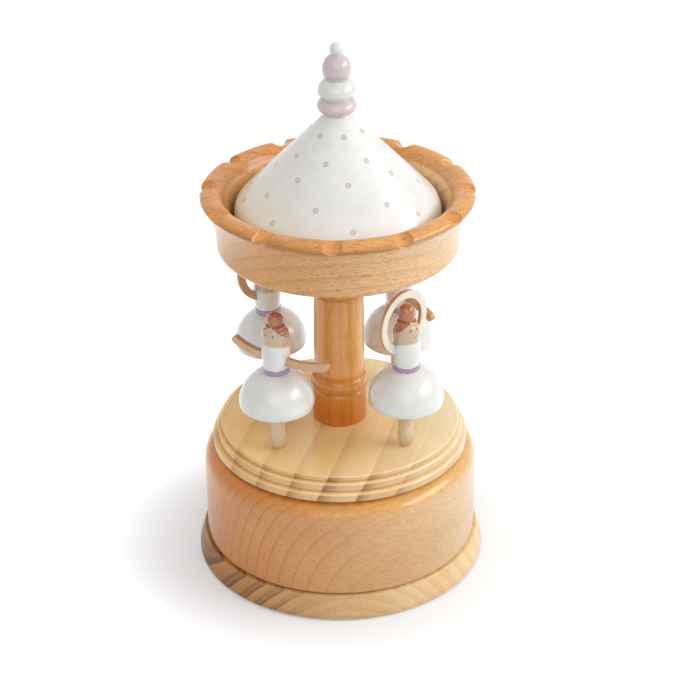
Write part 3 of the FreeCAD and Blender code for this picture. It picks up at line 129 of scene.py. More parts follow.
def turnOnLathe(name, rings, sides=72, levels=2, closed=False):
    # Starts from a circle and draws it out ring by ring, as (radius, height) in mm
    held = holdCorners(rings)
    grow = 3 / (2 + cos(2 * pi / sides))
    tiny = 0.02
    radius, height = max(held[0].x, tiny) * grow, held[0].y
    bpy.ops.mesh.primitive_circle_add(vertices=sides, radius=radius * mm, fill_type="NOTHING",
                                      location=(0, 0, height * mm))
    piece = bpy.context.object
    piece.name = piece.data.name = name
    bpy.ops.object.mode_set(mode="EDIT")
    if held[0].x <= tiny:
        bpy.ops.mesh.edge_face_add()
    for ring in held[1:]:
        nextRadius = max(ring.x, tiny) * grow
        bpy.ops.mesh.extrude_edges_move(TRANSFORM_OT_translate={"value": (0, 0, (ring.y - height) * mm)})
        bpy.ops.transform.resize(value=(nextRadius / radius, nextRadius / radius, 1),
                                 center_override=(0, 0, ring.y * mm))
        radius, height = nextRadius, ring.y
    if not closed:
        bpy.ops.mesh.edge_face_add()
    closeMesh()
    smooth = piece.modifiers.new("Smooth", "SUBSURF")
    smooth.levels = smooth.render_levels = levels
    bpy.ops.object.modifier_apply(modifier="Smooth")
    bpy.ops.object.shade_smooth()
    return piece


def copyPiece(source, name):
    piece = source.copy()
    piece.data = source.data.copy()
    piece.name = piece.data.name = name
    bpy.context.scene.collection.objects.link(piece)
    return piece


def moveMesh(piece, matrix):
    # Moves the mesh and leaves the object at the origin
    piece.data.transform(matrix)
    piece.data.update()


def about(place, matrix):
    # A turn or scale about a place
    return Matrix.Translation(place) @ matrix @ Matrix.Translation(-place)


def dress(piece, material):
    piece.data.materials.clear()
    piece.data.materials.append(material)


def cutWith(piece, cutter):
    # Boolean difference, then the cutter goes
    bpy.ops.object.select_all(action="DESELECT")
    bpy.context.view_layer.objects.active = piece
    piece.select_set(True)
    cut = piece.modifiers.new("Cut", "BOOLEAN")
    cut.operation, cut.solver, cut.object = "DIFFERENCE", "EXACT", cutter
    bpy.ops.object.modifier_apply(modifier="Cut")
    bpy.data.objects.remove(cutter)


def finish(piece, body, node, material):
    dress(piece, material)
    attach(piece, body)
    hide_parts(node)


# Finishes

def makeWood(name, look):
    # Lacquered solid wood. The rings are cylinders round a pith axis that lies level
    material, tree, shader = startMaterial(name)
    place = addNode(tree, "TexCoord").outputs["Object"]
    surface = addNode(tree, "NewGeometry")
    facing = addNode(tree, "SeparateXYZ", {"Vector": surface.outputs["Normal"]}).outputs[2]
    # Millimetres, with x across the rings, y along the fibres and z up, measured from the pith
    grain = addNode(tree, "Mapping", {
        "Vector": place, "Scale": (1000, 1000, 1000),
        "Rotation": (radians(look.get("stand", 0)), 0, radians(-look["acrossAngle"])),
        "Location": (-look["pith"][0], 0, -look["pith"][1])})
    # The board's left half, where its rings come out strongest
    where, _, up = addNode(tree, "SeparateXYZ", {"Vector": place}).outputs
    ringsFrom, ringsTo, ringsLeft = look.get("ringsLeft", (-60, 60, 1))
    leftward = addNode(tree, "MapRange", {
        "Value": where, "From Min": ringsFrom / 1000, "From Max": ringsTo / 1000, "To Min": 1,
        "To Max": ringsLeft}, interpolation_type="SMOOTHSTEP")
    level = addNode(tree, "MapRange", {"Value": facing, "From Min": 0.1, "From Max": 0.85},
                    interpolation_type="SMOOTHSTEP")
    flatFade = addNode(tree, "MapRange", {"Value": level, "To Min": 1, "To Max": look.get("ringsOnTop", 1)})
    # Slow wander of the rings, 38 mm across the fibres and 95 mm along them
    slow = addNode(tree, "Mapping", {"Vector": grain, "Scale": (1 / 38, 1 / 95, 1 / 38)})
    wander = addNode(tree, "TexNoise", {"Vector": slow, "Scale": 1, "Detail": 3, "Roughness": 0.45})
    shake = addNode(tree, "Math", {0: wander, 1: 0.5}, operation="SUBTRACT")
    shake = addNode(tree, "Math", {0: shake, 1: look["wander"]}, operation="MULTIPLY")
    flat = addNode(tree, "VectorMath", {0: grain, 1: (1, 0, 1)}, operation="MULTIPLY")
    away = addNode(tree, "VectorMath", {0: flat}, operation="LENGTH")
    reach = addNode(tree, "Math", {0: away, 1: shake}, operation="ADD")
    # Years differ in width
    years = addNode(tree, "Math", {0: reach, 1: 1 / (look["ringWidth"] * 2.3)}, operation="MULTIPLY")
    uneven = addNode(tree, "TexNoise", {"W": years, "Scale": 1, "Detail": 1}, noise_dimensions="1D")
    uneven = addNode(tree, "Math", {0: uneven, 1: look["uneven"]}, operation="MULTIPLY")
    count = addNode(tree, "Math", {0: reach, 1: -look["firstRing"]}, operation="ADD")
    count = addNode(tree, "Math", {0: count, 1: 1 / look["ringWidth"]}, operation="MULTIPLY")
    count = addNode(tree, "Math", {0: count, 1: uneven}, operation="ADD")
    part = addNode(tree, "Math", {0: count}, operation="FRACT")
    ring = addNode(tree, "ValToRGB", {"Fac": part})
    setRamp(ring, look["ringShade"])
    # Rings are stronger in some patches of 30 by 60 mm than in others
    patch = addNode(tree, "Mapping", {"Vector": grain, "Scale": (1 / 30, 1 / 60, 1 / 30)})
    fade = addNode(tree, "TexNoise", {"Vector": patch, "Scale": 1, "Detail": 2})
    fade = addNode(tree, "MapRange", {
        "Value": fade, "From Min": 0.35, "From Max": 0.62, "To Min": look["ringFade"], "To Max": 1})
    ringShade = ring
    for share in (fade, leftward, flatFade):
        ringShade = addNode(tree, "Math", {0: ringShade, 1: share}, operation="MULTIPLY")
    # Fibres, drawn 0.4 to 1.1 mm thick so that they show, and several times as long
    thread = addNode(tree, "Mapping", {"Vector": grain, "Scale": look["fibre"]})
    fibre = addNode(tree, "TexNoise", {"Vector": thread, "Scale": 1, "Detail": 3, "Roughness": 0.6})
    # Short dark dashes: rays in beech, resin ducts in pine
    dash = addNode(tree, "Mapping", {"Vector": grain, "Scale": look["dash"]})
    dash = addNode(tree, "TexNoise", {"Vector": dash, "Scale": 1, "Detail": 1.5, "Roughness": 0.5})
    dash = addNode(tree, "MapRange", {
        "Value": dash, "From Min": look["dashFrom"], "From Max": look["dashFrom"] + 0.09})
    # Cloudy warm and cool areas
    cloud = addNode(tree, "TexNoise", {"Vector": slow, "Scale": 1.7, "Detail": 2})
    tone = addNode(tree, "ValToRGB", {"Fac": cloud})
    setRamp(tone, ((0.3, look["early"][0]), (0.7, look["early"][1])))
    colour = addNode(tree, "Mix", {"Factor": ringShade, "A": tone, "B": srgb(look["late"])}, data_type="RGBA")
    streak = addNode(tree, "MapRange", {
        "Value": fibre, "From Min": 0.3, "From Max": 0.7, "To Min": 1 - look["fibreShade"],
        "To Max": 1 + look["fibreShade"] * 0.6})
    colour = addNode(tree, "VectorMath", {0: colour, "Scale": streak}, operation="SCALE")
    dashShade = addNode(tree, "Math", {0: dash, 1: look["dashShade"]}, operation="MULTIPLY")
    colour = addNode(tree, "Mix", {"Factor": dashShade, "A": colour, "B": srgb(look["dashColour"])},
                     data_type="RGBA")
    # Painted light: the board is painted in a shaded tint on its left and a lit, paler tint on its right, and
    # faces that look up get their own painted light or shade
    sideLight = addNode(tree, "MapRange", {
        "Value": where, "From Min": -look["spread"] / 1000, "From Max": look["spread"] / 1000})
    sideLight = addNode(tree, "Mix", {"Factor": sideLight, "A": (*look["shadedSideTint"], 1), "B": (*look["litSideTint"], 1)},
                    data_type="RGBA")
    # Painted highlight: faces that look up are painted paler, towards white
    topHighlight = addNode(tree, "Math", {0: level, 1: look.get("upFacingHighlight", 0)}, operation="MULTIPLY")
    sideLight = addNode(tree, "Mix", {"Factor": topHighlight, "A": sideLight, "B": (1, 1, 1, 1)}, data_type="RGBA")
    # Painted light or shade: faces that look up get their own tint
    topLight = addNode(tree, "Mix", {
        "Factor": level, "A": (1, 1, 1, 1), "B": (*look.get("upFacingLightTint", (1, 1, 1)), 1)}, data_type="RGBA")
    # Painted light by height: painted shade at the column's foot and faintly on the turntable's lowest tier,
    # and on the bowl a painted pale sheen over the wall below the lip, whose lip and inside keep the wood's
    # deeper orange
    footLow, footHigh = look.get("footHeights", (-2, -1))
    low = addNode(tree, "MapRange", {"Value": up, "From Min": footLow / 1000, "From Max": footHigh / 1000},
                  interpolation_type="SMOOTHSTEP")
    low = addNode(tree, "Mix", {"Factor": low, "A": (*look.get("footLightTint", (1, 1, 1)), 1), "B": (1, 1, 1, 1)},
                  data_type="RGBA")
    for shade in (sideLight, topLight, low):
        colour = addNode(tree, "VectorMath", {0: colour, 1: shade}, operation="MULTIPLY")
    gloss = addNode(tree, "MapRange", {
        "Value": fibre, "To Min": look["roughness"] - 0.06, "To Max": look["roughness"] + 0.08})
    bump = addNode(tree, "Bump", {"Height": fibre, "Strength": 0.12, "Distance": 0.00006})
    bump = addNode(tree, "Bump", {"Height": dash, "Normal": bump, "Strength": 0.1, "Distance": 0.00004},
                   invert=True)
    # The shine comes from the lacquer, and little from the wood under it
    plug(shader, {"Base Color": colour, "Roughness": gloss, "Normal": bump, "IOR": 1.5,
                  "Specular IOR Level": 0.2,
                  "Coat Weight": look["lacquer"], "Coat Roughness": 0.13, "Coat IOR": 1.5})
    return material


# Pine with wide rings: pale wood between brown edges, which are strongest at the left
basePine = {
    "acrossAngle": 12.06, "pith": (-8.2, -23.8), "firstRing": 35.2, "ringWidth": 4.75, "uneven": 0.9,
    "wander": 2.4,
    "ringShade": ((0, 0.95), (0.1, 0.8), (0.22, 0.42), (0.34, 0.75), (0.5, 0.2), (0.93, 0.05), (1, 0.95)),
    "ringFade": 0.72, "ringsLeft": (-38, -6, 0.2), "ringsOnTop": 0.9, "shadedSideTint": (0.52, 0.3, 0.1),
    "litSideTint": (0.95, 0.9, 0.78), "spread": 55, "fibre": (2.6, 0.16, 2.6), "fibreShade": 0.13,
    "dash": (0.4, 0.1, 0.4), "dashFrom": 0.6, "dashShade": 0.14, "early": ("FFE6BE", "F8D4A4"),
    "late": "7C481A", "dashColour": "C08242", "roughness": 0.42, "lacquer": 0.4,
}
tablePine = {
    "acrossAngle": -15, "pith": (100, 20), "firstRing": 90.6, "ringWidth": 13.2, "uneven": 0.5, "wander": 2.6,
    "ringShade": ((0, 0.0), (0.35, 0.04), (0.62, 0.22), (0.86, 0.75), (0.96, 1), (1, 0.0)), "ringFade": 0.6,
    "ringsLeft": (10, 34, 0.3), "ringsOnTop": 0.32, "upFacingLightTint": (1.22, 1.36, 1.36),
    "shadedSideTint": (0.98, 0.86, 0.62), "litSideTint": (0.93, 1.02, 1.28), "spread": 55, "footHeights": (52, 57),
    "footLightTint": (0.97, 0.95, 0.9), "fibre": (2.4, 0.1, 2.4), "fibreShade": 0.08, "dash": (1.0, 0.13, 1.0),
    "dashFrom": 0.63, "dashShade": 0.16, "early": ("F0CD9B", "E6BB7D"), "late": "9C5C22",
    "dashColour": "A56B36", "roughness": 0.4, "lacquer": 0.7,
}
# Steamed beech: even reddish tan with thin ring lines and a fine ripple across the board
drumBeech = {
    "acrossAngle": -65.26, "pith": (117.67, 1.63), "firstRing": 66.4, "ringWidth": 4.616, "uneven": 0.3,
    "wander": 1.5, "ringShade": ((0, 0.0), (0.7, 0.04), (0.88, 0.3), (0.945, 0.72), (1, 0.0)),
    "ringFade": 0.45, "ringsLeft": (-30, 20, 0.14), "ringsOnTop": 0.6, "upFacingLightTint": (1.03, 0.9, 0.5),
    "shadedSideTint": (0.9, 0.7, 0.16), "litSideTint": (1.03, 1.56, 2.9), "spread": 55, "fibre": (0.9, 0.26, 2.2),
    "fibreShade": 0.17, "dash": (0.55, 0.22, 3.2), "dashFrom": 0.56, "dashShade": 0.27,
    "early": ("E5A15C", "DA954F"), "late": "AE5A22", "dashColour": "AC6434", "roughness": 0.46,
    "lacquer": 0.8,
}
columnBeech = {
    "stand": 90, "acrossAngle": 0, "pith": (60, 34), "firstRing": 0, "ringWidth": 3.6, "uneven": 0.5,
    "wander": 1.6, "ringShade": ((0, 0.0), (0.6, 0.1), (0.92, 0.6), (1, 0.0)), "ringFade": 0.05,
    "upFacingLightTint": (1, 0.95, 0.85), "shadedSideTint": (1.03, 1.02, 0.8), "litSideTint": (1.04, 1.18, 1.4), "spread": 11,
    "footHeights": (62, 96), "footLightTint": (0.82, 0.48, 0.06), "fibre": (2.8, 0.2, 2.8), "fibreShade": 0.16,
    "dash": (2.4, 0.24, 2.4), "dashFrom": 0.59, "dashShade": 0.26, "early": ("E9A75C", "DE9A4C"),
    "late": "BE7C3A", "dashColour": "9A6028", "roughness": 0.4, "lacquer": 0.8,
}
bowlBeech = {
    "acrossAngle": -80, "pith": (90, 40), "firstRing": 0, "ringWidth": 5.2, "uneven": 0.5, "wander": 3.0,
    "ringShade": ((0, 0.0), (0.6, 0.05), (0.94, 0.3), (1, 0.0)), "ringFade": 0.2,
    "upFacingLightTint": (1.12, 1.02, 0.94), "upFacingHighlight": 0.6, "shadedSideTint": (0.66, 0.42, 0.2),
    "litSideTint": (0.78, 0.76, 0.86), "spread": 55, "footHeights": (160.6, 162.2),
    "footLightTint": (1.42, 1.9, 2.9), "fibre": (2.4, 0.24, 2.4), "fibreShade": 0.26, "dash": (1.5, 0.2, 1.5),
    "dashFrom": 0.61, "dashShade": 0.65, "early": ("EAB068", "DFA25A"), "late": "A0602A",
    "dashColour": "A0561C", "roughness": 0.43, "lacquer": 0.6,
}


def makePaint(name, look):
    # Gloss enamel on turned wood: smooth, with a faint unevenness left by the brush
    material, tree, shader = startMaterial(name)
    place = addNode(tree, "TexCoord").outputs["Object"]
    flow = addNode(tree, "Mapping", {"Vector": place, "Scale": (1000, 1000, 1000)})
    soft = addNode(tree, "TexNoise", {"Vector": flow, "Scale": 0.22, "Detail": 3})
    tone = addNode(tree, "ValToRGB", {"Fac": soft})
    setRamp(tone, ((0.3, look["low"]), (0.7, look["high"])))
    bump = addNode(tree, "Bump", {"Height": soft, "Strength": 0.25, "Distance": 0.00012})
    plug(shader, {"Base Color": tone, "Roughness": look["roughness"], "Normal": bump, "IOR": 1.5,
                  "Coat Weight": look["gloss"], "Coat Roughness": 0.15})
    return material, tree, flow, tone, shader


# Rows of dots down the cone, each as its height in mm and its angles round the roof
dotRows = ((190.3, (-23.2, -76.4, -127.8, 174.1, 124.8, 75.4, 26.1)),
           (182.4, (1.3, -52.5, -104.5, -150, 157.8, 105.7, 53.5)),
           (176.3, (-31, -80.3, -129.5, -171.8, 133.4, 78.6, 23.8)),
           (168.8, (-5.1, -53.2, -105.7, -150.5, 155.9, 102.2, 48.5)),
           (162.7, (-33.6, -81.1, -132.3, -170.7, 133.6, 77.8, 22.1)))
# The cone's side: its radius at one height, and how fast it narrows
roofSide = {"height": 161.1, "radius": 38.6, "slope": 0.961}


def roofPaint():
    # White enamel with pale lilac dots dabbed on by hand, each 2.2 mm across
    material, tree, flow, tone, shader = makePaint("whiteEnamelWithLilacDots", {
        "low": "E5E5E2", "high": "EBEBE9", "roughness": 0.36, "gloss": 0.35})
    # Broad faint strokes of the brush, drawn from the point down to the edge
    fromLeft = addNode(tree, "SeparateXYZ", {"Vector": flow})
    around = addNode(tree, "VectorMath", {0: flow, 1: (1, 1, 0)}, operation="MULTIPLY")
    around = addNode(tree, "VectorMath", {0: around}, operation="NORMALIZE")
    strokes = addNode(tree, "TexNoise", {"Vector": around, "Scale": 3.2, "Detail": 0})
    thin = addNode(tree, "MapRange", {
        "Value": strokes, "From Min": 0.1, "From Max": 0.9, "To Min": 0.965, "To Max": 1.02})
    coat = addNode(tree, "VectorMath", {0: tone, "Scale": thin}, operation="SCALE")
    # The enamel is painted warmer on the left, as a painted warm reflection of the wooden bowl
    bowlReflection = addNode(tree, "MapRange", {"Value": fromLeft, "From Min": -38, "From Max": 2},
                   interpolation_type="SMOOTHSTEP")
    bowlReflection = addNode(tree, "Mix", {"Factor": bowlReflection, "A": (1, 0.965, 0.85, 1), "B": (1, 1, 1, 1)},
                   data_type="RGBA")
    coat = addNode(tree, "VectorMath", {0: coat, 1: bowlReflection}, operation="MULTIPLY")
    sheen = addNode(tree, "MapRange", {
        "Value": strokes, "From Min": 0.1, "From Max": 0.9, "To Min": 0.27, "To Max": 0.4})
    nearest = None
    for height, angles in dotRows:
        radius = roofSide["radius"] - roofSide["slope"] * (height - roofSide["height"])
        for angle in angles:
            spot = (radius * cos(radians(angle)), radius * sin(radians(angle)), height)
            distance = addNode(tree, "VectorMath", {0: flow, 1: spot}, operation="DISTANCE")
            if nearest is None:
                nearest = distance
            else:
                nearest = addNode(tree, "Math", {0: nearest, 1: distance}, operation="MINIMUM")
    # A dab of paint is a little darker round its edge
    dots = addNode(tree, "MapRange", {
        "Value": nearest, "From Min": 1.02, "From Max": 1.22, "To Min": 1, "To Max": 0})
    rim = addNode(tree, "MapRange", {"Value": nearest, "From Min": 0.5, "From Max": 1.0})
    dab = addNode(tree, "Mix", {"Factor": rim, "A": srgb("D5C8C8"), "B": srgb("C3B0AE")}, data_type="RGBA")
    colour = addNode(tree, "Mix", {"Factor": dots, "A": coat, "B": dab}, data_type="RGBA")
    plug(shader, {"Base Color": colour, "Roughness": sheen})
    return material


def beadPaint():
    # Four painted beads: lilac, white, lilac and white from the roof up
    material, tree, flow, tone, shader = makePaint("lilacAndWhiteEnamel", {
        "low": "E0E0DD", "high": "E8E8E6", "roughness": 0.28, "gloss": 0.7})
    up = addNode(tree, "SeparateXYZ", {"Vector": flow}).outputs[2]
    foot, top, blur = 190, 230, 0.004
    height = addNode(tree, "MapRange", {"Value": up, "From Min": foot, "From Max": top})
    bands = addNode(tree, "ValToRGB", {"Fac": height})
    colours = ("CFBCBF", "DDDDDA", "CAB7BA", "DDDDDA")
    stops = [(0, colours[0])]
    for index, edge in enumerate((202.65, 210.45, 220.15)):
        place = (edge - foot) / (top - foot)
        stops += [(place - blur, colours[index]), (place + blur, colours[index + 1])]
    setRamp(bands, (*stops, (1, colours[-1])))
    shade = addNode(tree, "Mix", {"Factor": 0.12, "A": bands, "B": tone}, data_type="RGBA")
    plug(shader, {"Base Color": shade})
    return material


# What is painted on a figure, as heights in mm over its foot and angles from the middle of its face. The
# hairline runs from there to the nape: a share of the half turn, and a share of its rise
face = {
    "radius": 5.3, "blur": 0.14, "eyes": (18, 53.6), "eye": 0.4, "pupil": 0.12, "mouth": 50.85,
    "smile": -9.0, "ribbon": (35.85, 37.95), "neck": 47.2, "neckRise": 1.2, "scallops": 22,
    "scallop": 0.6, "hairFoot": 50.0, "hairRise": 10.0,
    "hairline": ((0, 0.68), (0.12, 0.59), (0.25, 0.45), (0.4, 0.28), (0.55, 0.16), (1, 0.14)),
}


def figurePaint():
    # Hand-painted enamel on a turned figure, laid on by "paintPlace", millimetres from its own foot
    material, tree, flow, tone, shader = makePaint("figureEnamel", {
        "low": "DEDEDA", "high": "E6E6E3", "roughness": 0.3, "gloss": 0.55})
    own = addNode(tree, "Attribute", attribute_name="paintPlace").outputs["Vector"]
    forward, side, height = addNode(tree, "SeparateXYZ", {"Vector": own}).outputs
    turn = addNode(tree, "Math", {0: side, 1: forward}, operation="ARCTAN2")
    away = addNode(tree, "Math", {0: turn}, operation="ABSOLUTE")
    wobble = addNode(tree, "TexNoise", {"Vector": own, "Scale": 0.7, "Detail": 2})
    wobble = addNode(tree, "Math", {0: wobble, 1: 0.5}, operation="SUBTRACT")
    uneven = addNode(tree, "Math", {0: wobble, 1: 0.5, 2: height}, operation="MULTIPLY_ADD")

    def above(level, edge=0.12):
        # 1 over a height in mm, with the soft edge that a brush leaves
        gap = addNode(tree, "Math", {0: uneven, 1: level}, operation="SUBTRACT")
        return addNode(tree, "MapRange", {"Value": gap, "From Min": -edge, "From Max": edge})

    def spot(degrees, level, size):
        # A round dab on the face, at an angle from its middle
        angle = addNode(tree, "Math", {0: turn, 1: radians(degrees)}, operation="SUBTRACT")
        across = addNode(tree, "Math", {0: angle, 1: face["radius"]}, operation="MULTIPLY")
        rise = addNode(tree, "Math", {0: height, 1: level}, operation="SUBTRACT")
        offset = addNode(tree, "CombineXYZ", {0: across, 1: rise})
        length = addNode(tree, "VectorMath", {0: offset}, operation="LENGTH")
        return addNode(tree, "MapRange", {"Value": length, "From Min": size, "From Max": size + face["blur"],
                                          "To Min": 1, "To Max": 0})

    # Hairline: high over the brow, swept down to the ears
    hairline = addNode(tree, "Math", {0: away, 1: pi}, operation="DIVIDE")
    hairline = addNode(tree, "FloatCurve", {"Value": hairline})
    curve = hairline.mapping.curves[0]
    brow, *sweep, nape = face["hairline"]
    for share, level in sweep:
        curve.points.new(share, level)
    curve.points[0].location = brow
    curve.points[-1].location = nape
    hairline.mapping.update()
    hairLevel = addNode(tree, "Math", {0: hairline, 1: face["hairRise"], 2: face["hairFoot"]},
                        operation="MULTIPLY_ADD")
    hair = above(hairLevel, 0.1)
    # Neckline: a row of small scallops, a little lower at the back
    neck = addNode(tree, "Math", {0: turn}, operation="COSINE")
    neck = addNode(tree, "Math", {0: neck, 1: face["neckRise"], 2: face["neck"]}, operation="MULTIPLY_ADD")
    lobes = addNode(tree, "Math", {0: turn, 1: face["scallops"] / 2}, operation="MULTIPLY")
    lobes = addNode(tree, "Math", {0: lobes}, operation="SINE")
    lobes = addNode(tree, "Math", {0: lobes}, operation="ABSOLUTE")
    neck = addNode(tree, "Math", {0: lobes, 1: face["scallop"], 2: neck}, operation="MULTIPLY_ADD")
    skin = above(neck, 0.08)
    low, high = face["ribbon"]
    ribbon = addNode(tree, "Math", {0: above(low), 1: above(high)}, operation="SUBTRACT")
    # Painted shade: the ribbon is darker along its upper and lower edges, lighter in its middle
    core = addNode(tree, "Math", {0: above(low + 0.4, 0.25), 1: above(high - 0.45, 0.25)},
                   operation="SUBTRACT")
    band = addNode(tree, "Mix", {"Factor": core, "A": srgb("8C6F94"), "B": srgb("A98CAC")}, data_type="RGBA")
    turned, level = face["eyes"]
    eyes, pupils = [addNode(tree, "Math", {0: spot(turned, level, size), 1: spot(-turned, level, size)},
                            operation="MAXIMUM") for size in (face["eye"], face["pupil"])]
    # The smile is a thin arc, about 1.8 mm wide
    bend = addNode(tree, "Math", {0: turn, 1: 2}, operation="POWER")
    bend = addNode(tree, "Math", {0: bend, 1: face["smile"], 2: height}, operation="MULTIPLY_ADD")
    bend = addNode(tree, "Math", {0: bend, 1: face["mouth"]}, operation="SUBTRACT")
    bend = addNode(tree, "Math", {0: bend}, operation="ABSOLUTE")
    smile = addNode(tree, "MapRange", {
        "Value": bend, "From Min": 0.09, "From Max": 0.2, "To Min": 1, "To Max": 0})
    width = addNode(tree, "MapRange", {
        "Value": away, "From Min": 0.15, "From Max": 0.19, "To Min": 1, "To Max": 0})
    smile = addNode(tree, "Math", {0: smile, 1: width}, operation="MULTIPLY")
    # Streaks left by the brush in the hair
    brush = addNode(tree, "Mapping", {"Vector": own, "Scale": (0.6, 0.6, 0.35)})
    brush = addNode(tree, "TexNoise", {"Vector": brush, "Scale": 1, "Detail": 2})
    brush = addNode(tree, "ValToRGB", {"Fac": brush})
    setRamp(brush, ((0.35, "A36140"), (0.65, "BA7650")))
    colour = tone
    for mask, paint in ((skin, srgb("CBB193")), (smile, srgb("A67F9A")), (eyes, srgb("6E6C93")),
                        (pupils, srgb("3E3C58")), (hair, brush), (ribbon, band)):
        colour = addNode(tree, "Mix", {"Factor": mask, "A": colour, "B": paint}, data_type="RGBA")
    # Each coat of paint stands a little proud of the one below
    coats = addNode(tree, "Math", {0: hair, 1: 1.5, 2: ribbon}, operation="MULTIPLY_ADD")
    coats = addNode(tree, "Math", {0: coats, 1: skin}, operation="SUBTRACT")
    bump = addNode(tree, "Bump", {"Height": coats, "Strength": 0.7, "Distance": 0.00012})
    plug(shader, {"Base Color": colour, "Normal": bump})
    return material


def limbPaint(name, look):
    # Tan stain and clear lacquer on thin birch plywood; the cut edges show their layers
    material, tree, flow, tone, shader = makePaint(name, look)
    own = addNode(tree, "Attribute", attribute_name="paintPlace").outputs["Vector"]
    depth = addNode(tree, "SeparateXYZ", {"Vector": own})
    depth = addNode(tree, "Math", {0: depth}, operation="ABSOLUTE")
    edge = addNode(tree, "MapRange", {"Value": depth, "From Min": look["half"] - 0.22,
                                      "From Max": look["half"] - 0.08, "To Min": 1, "To Max": 0})
    plies = addNode(tree, "Math", {0: depth, 1: 1 / look["half"]}, operation="MULTIPLY")
    plies = addNode(tree, "ValToRGB", {"Fac": plies})
    setRamp(plies, ((0, look["edge"]), (0.3, look["edge"]), (0.36, look["glue"]), (0.42, look["edge"]),
                    (0.8, look["edge"]), (0.9, look["glue"])))
    grain = addNode(tree, "Mapping", {"Vector": own, "Scale": (1.5, 0.16, 2.2)})
    grain = addNode(tree, "TexNoise", {"Vector": grain, "Scale": 1, "Detail": 3})
    streak = addNode(tree, "MapRange", {
        "Value": grain, "From Min": 0.3, "From Max": 0.7, "To Min": 0.9, "To Max": 1.06})
    colour = addNode(tree, "Mix", {"Factor": edge, "A": tone, "B": plies}, data_type="RGBA")
    colour = addNode(tree, "VectorMath", {0: colour, "Scale": streak}, operation="SCALE")
    plug(shader, {"Base Color": colour})
    return material


def legPaint():
    # Flesh-coloured enamel over a turned peg, worn thin along the grain, with painted shade in the groove of
    # the foot
    material, tree, flow, tone, shader = makePaint("fleshEnamel", {
        "low": "D5B998", "high": "E0C7A8", "roughness": 0.34, "gloss": 0.4})
    own = addNode(tree, "Attribute", attribute_name="paintPlace").outputs["Vector"]
    grain = addNode(tree, "Mapping", {"Vector": own, "Scale": (1.6, 1.6, 0.12)})
    grain = addNode(tree, "TexNoise", {"Vector": grain, "Scale": 1, "Detail": 3})
    streak = addNode(tree, "MapRange", {
        "Value": grain, "From Min": 0.3, "From Max": 0.7, "To Min": 0.86, "To Max": 1.06})
    colour = addNode(tree, "VectorMath", {0: tone, "Scale": streak}, operation="SCALE")
    up = addNode(tree, "SeparateXYZ", {"Vector": own}).outputs[2]
    # Painted shade: darker in the groove of the foot
    groove = addNode(tree, "Math", {0: up, 1: 1.05}, operation="SUBTRACT")
    groove = addNode(tree, "Math", {0: groove}, operation="ABSOLUTE")
    groove = addNode(tree, "MapRange", {
        "Value": groove, "From Min": 0.1, "From Max": 0.4, "To Min": 0.7, "To Max": 0})
    colour = addNode(tree, "Mix", {"Factor": groove, "A": colour, "B": srgb("96704A")}, data_type="RGBA")
    plug(shader, {"Base Color": colour})
    return material


def innerFinish(name, look):
    # Parts inside the drum: metal and plastic with the marks of their making, felt with its fibres
    material, tree, shader = startMaterial(name)
    place = addNode(tree, "TexCoord").outputs["Object"]
    flow = addNode(tree, "Mapping", {"Vector": place, "Scale": [1000 * count for count in look["marks"]]})
    marks = addNode(tree, "TexNoise", {"Vector": flow, "Scale": 1, "Detail": 4, "Roughness": 0.6})
    tone = addNode(tree, "ValToRGB", {"Fac": marks})
    setRamp(tone, ((0.3, look["low"]), (0.7, look["high"])))
    dull = addNode(tree, "MapRange", {
        "Value": marks, "To Min": look["roughness"] - 0.08, "To Max": look["roughness"] + 0.08})
    bump = addNode(tree, "Bump", {"Height": marks, "Strength": look["relief"], "Distance": 0.0001})
    plug(shader, {"Base Color": tone, "Roughness": dull, "Normal": bump, "Metallic": look["metallic"],
                  "Sheen Weight": look.get("fuzz", 0)})
    return material


# Marks per millimetre along x, y and z
innerLooks = {
    "brass": {"low": "C19A4E", "high": "DDB96C", "roughness": 0.3, "metallic": 1, "relief": 0.15,
              "marks": (3, 0.3, 3)},
    "zinc": {"low": "A3A5A8", "high": "BDBFC2", "roughness": 0.5, "metallic": 1, "relief": 0.3,
             "marks": (1.5, 1.5, 1.5)},
    "steel": {"low": "A9ACB0", "high": "CDD0D4", "roughness": 0.28, "metallic": 1, "relief": 0.12,
              "marks": (0.3, 4, 4)},
    "nylon": {"low": "E2DFD3", "high": "EFEDE4", "roughness": 0.48, "metallic": 0, "relief": 0.1,
              "marks": (0.8, 0.8, 0.8)},
    "felt": {"low": "CBC3B1", "high": "E3DCCB", "roughness": 0.9, "metallic": 0, "relief": 0.9,
             "marks": (3.5, 3.5, 1.5), "fuzz": 0.4},
    "plywood": {"low": "B99A6E", "high": "D6BC92", "roughness": 0.6, "metallic": 0, "relief": 0.3,
                "marks": (3, 0.15, 0.9)},
}
innerMaterials = {slot: innerFinish(f"{slot}Inside", look) for slot, look in innerLooks.items()}
for part in frame["record"]["subparts"]:
    if part["material_slot"] in innerMaterials:
        for holder in frame["nodes"][part["node"]].material_slots:
            holder.material = innerMaterials[part["material_slot"]]

print("Materials for wood, paint and the parts inside are ready")

pineBase = makeWood("pineBase", basePine)
pineTable = makeWood("pineTable", tablePine)
beechDrum = makeWood("beechDrum", drumBeech)
beechColumn = makeWood("beechColumn", columnBeech)
beechBowl = makeWood("beechBowl", bowlBeech)
roofWhite = roofPaint()
beadEnamel = beadPaint()

# Base plate and drum

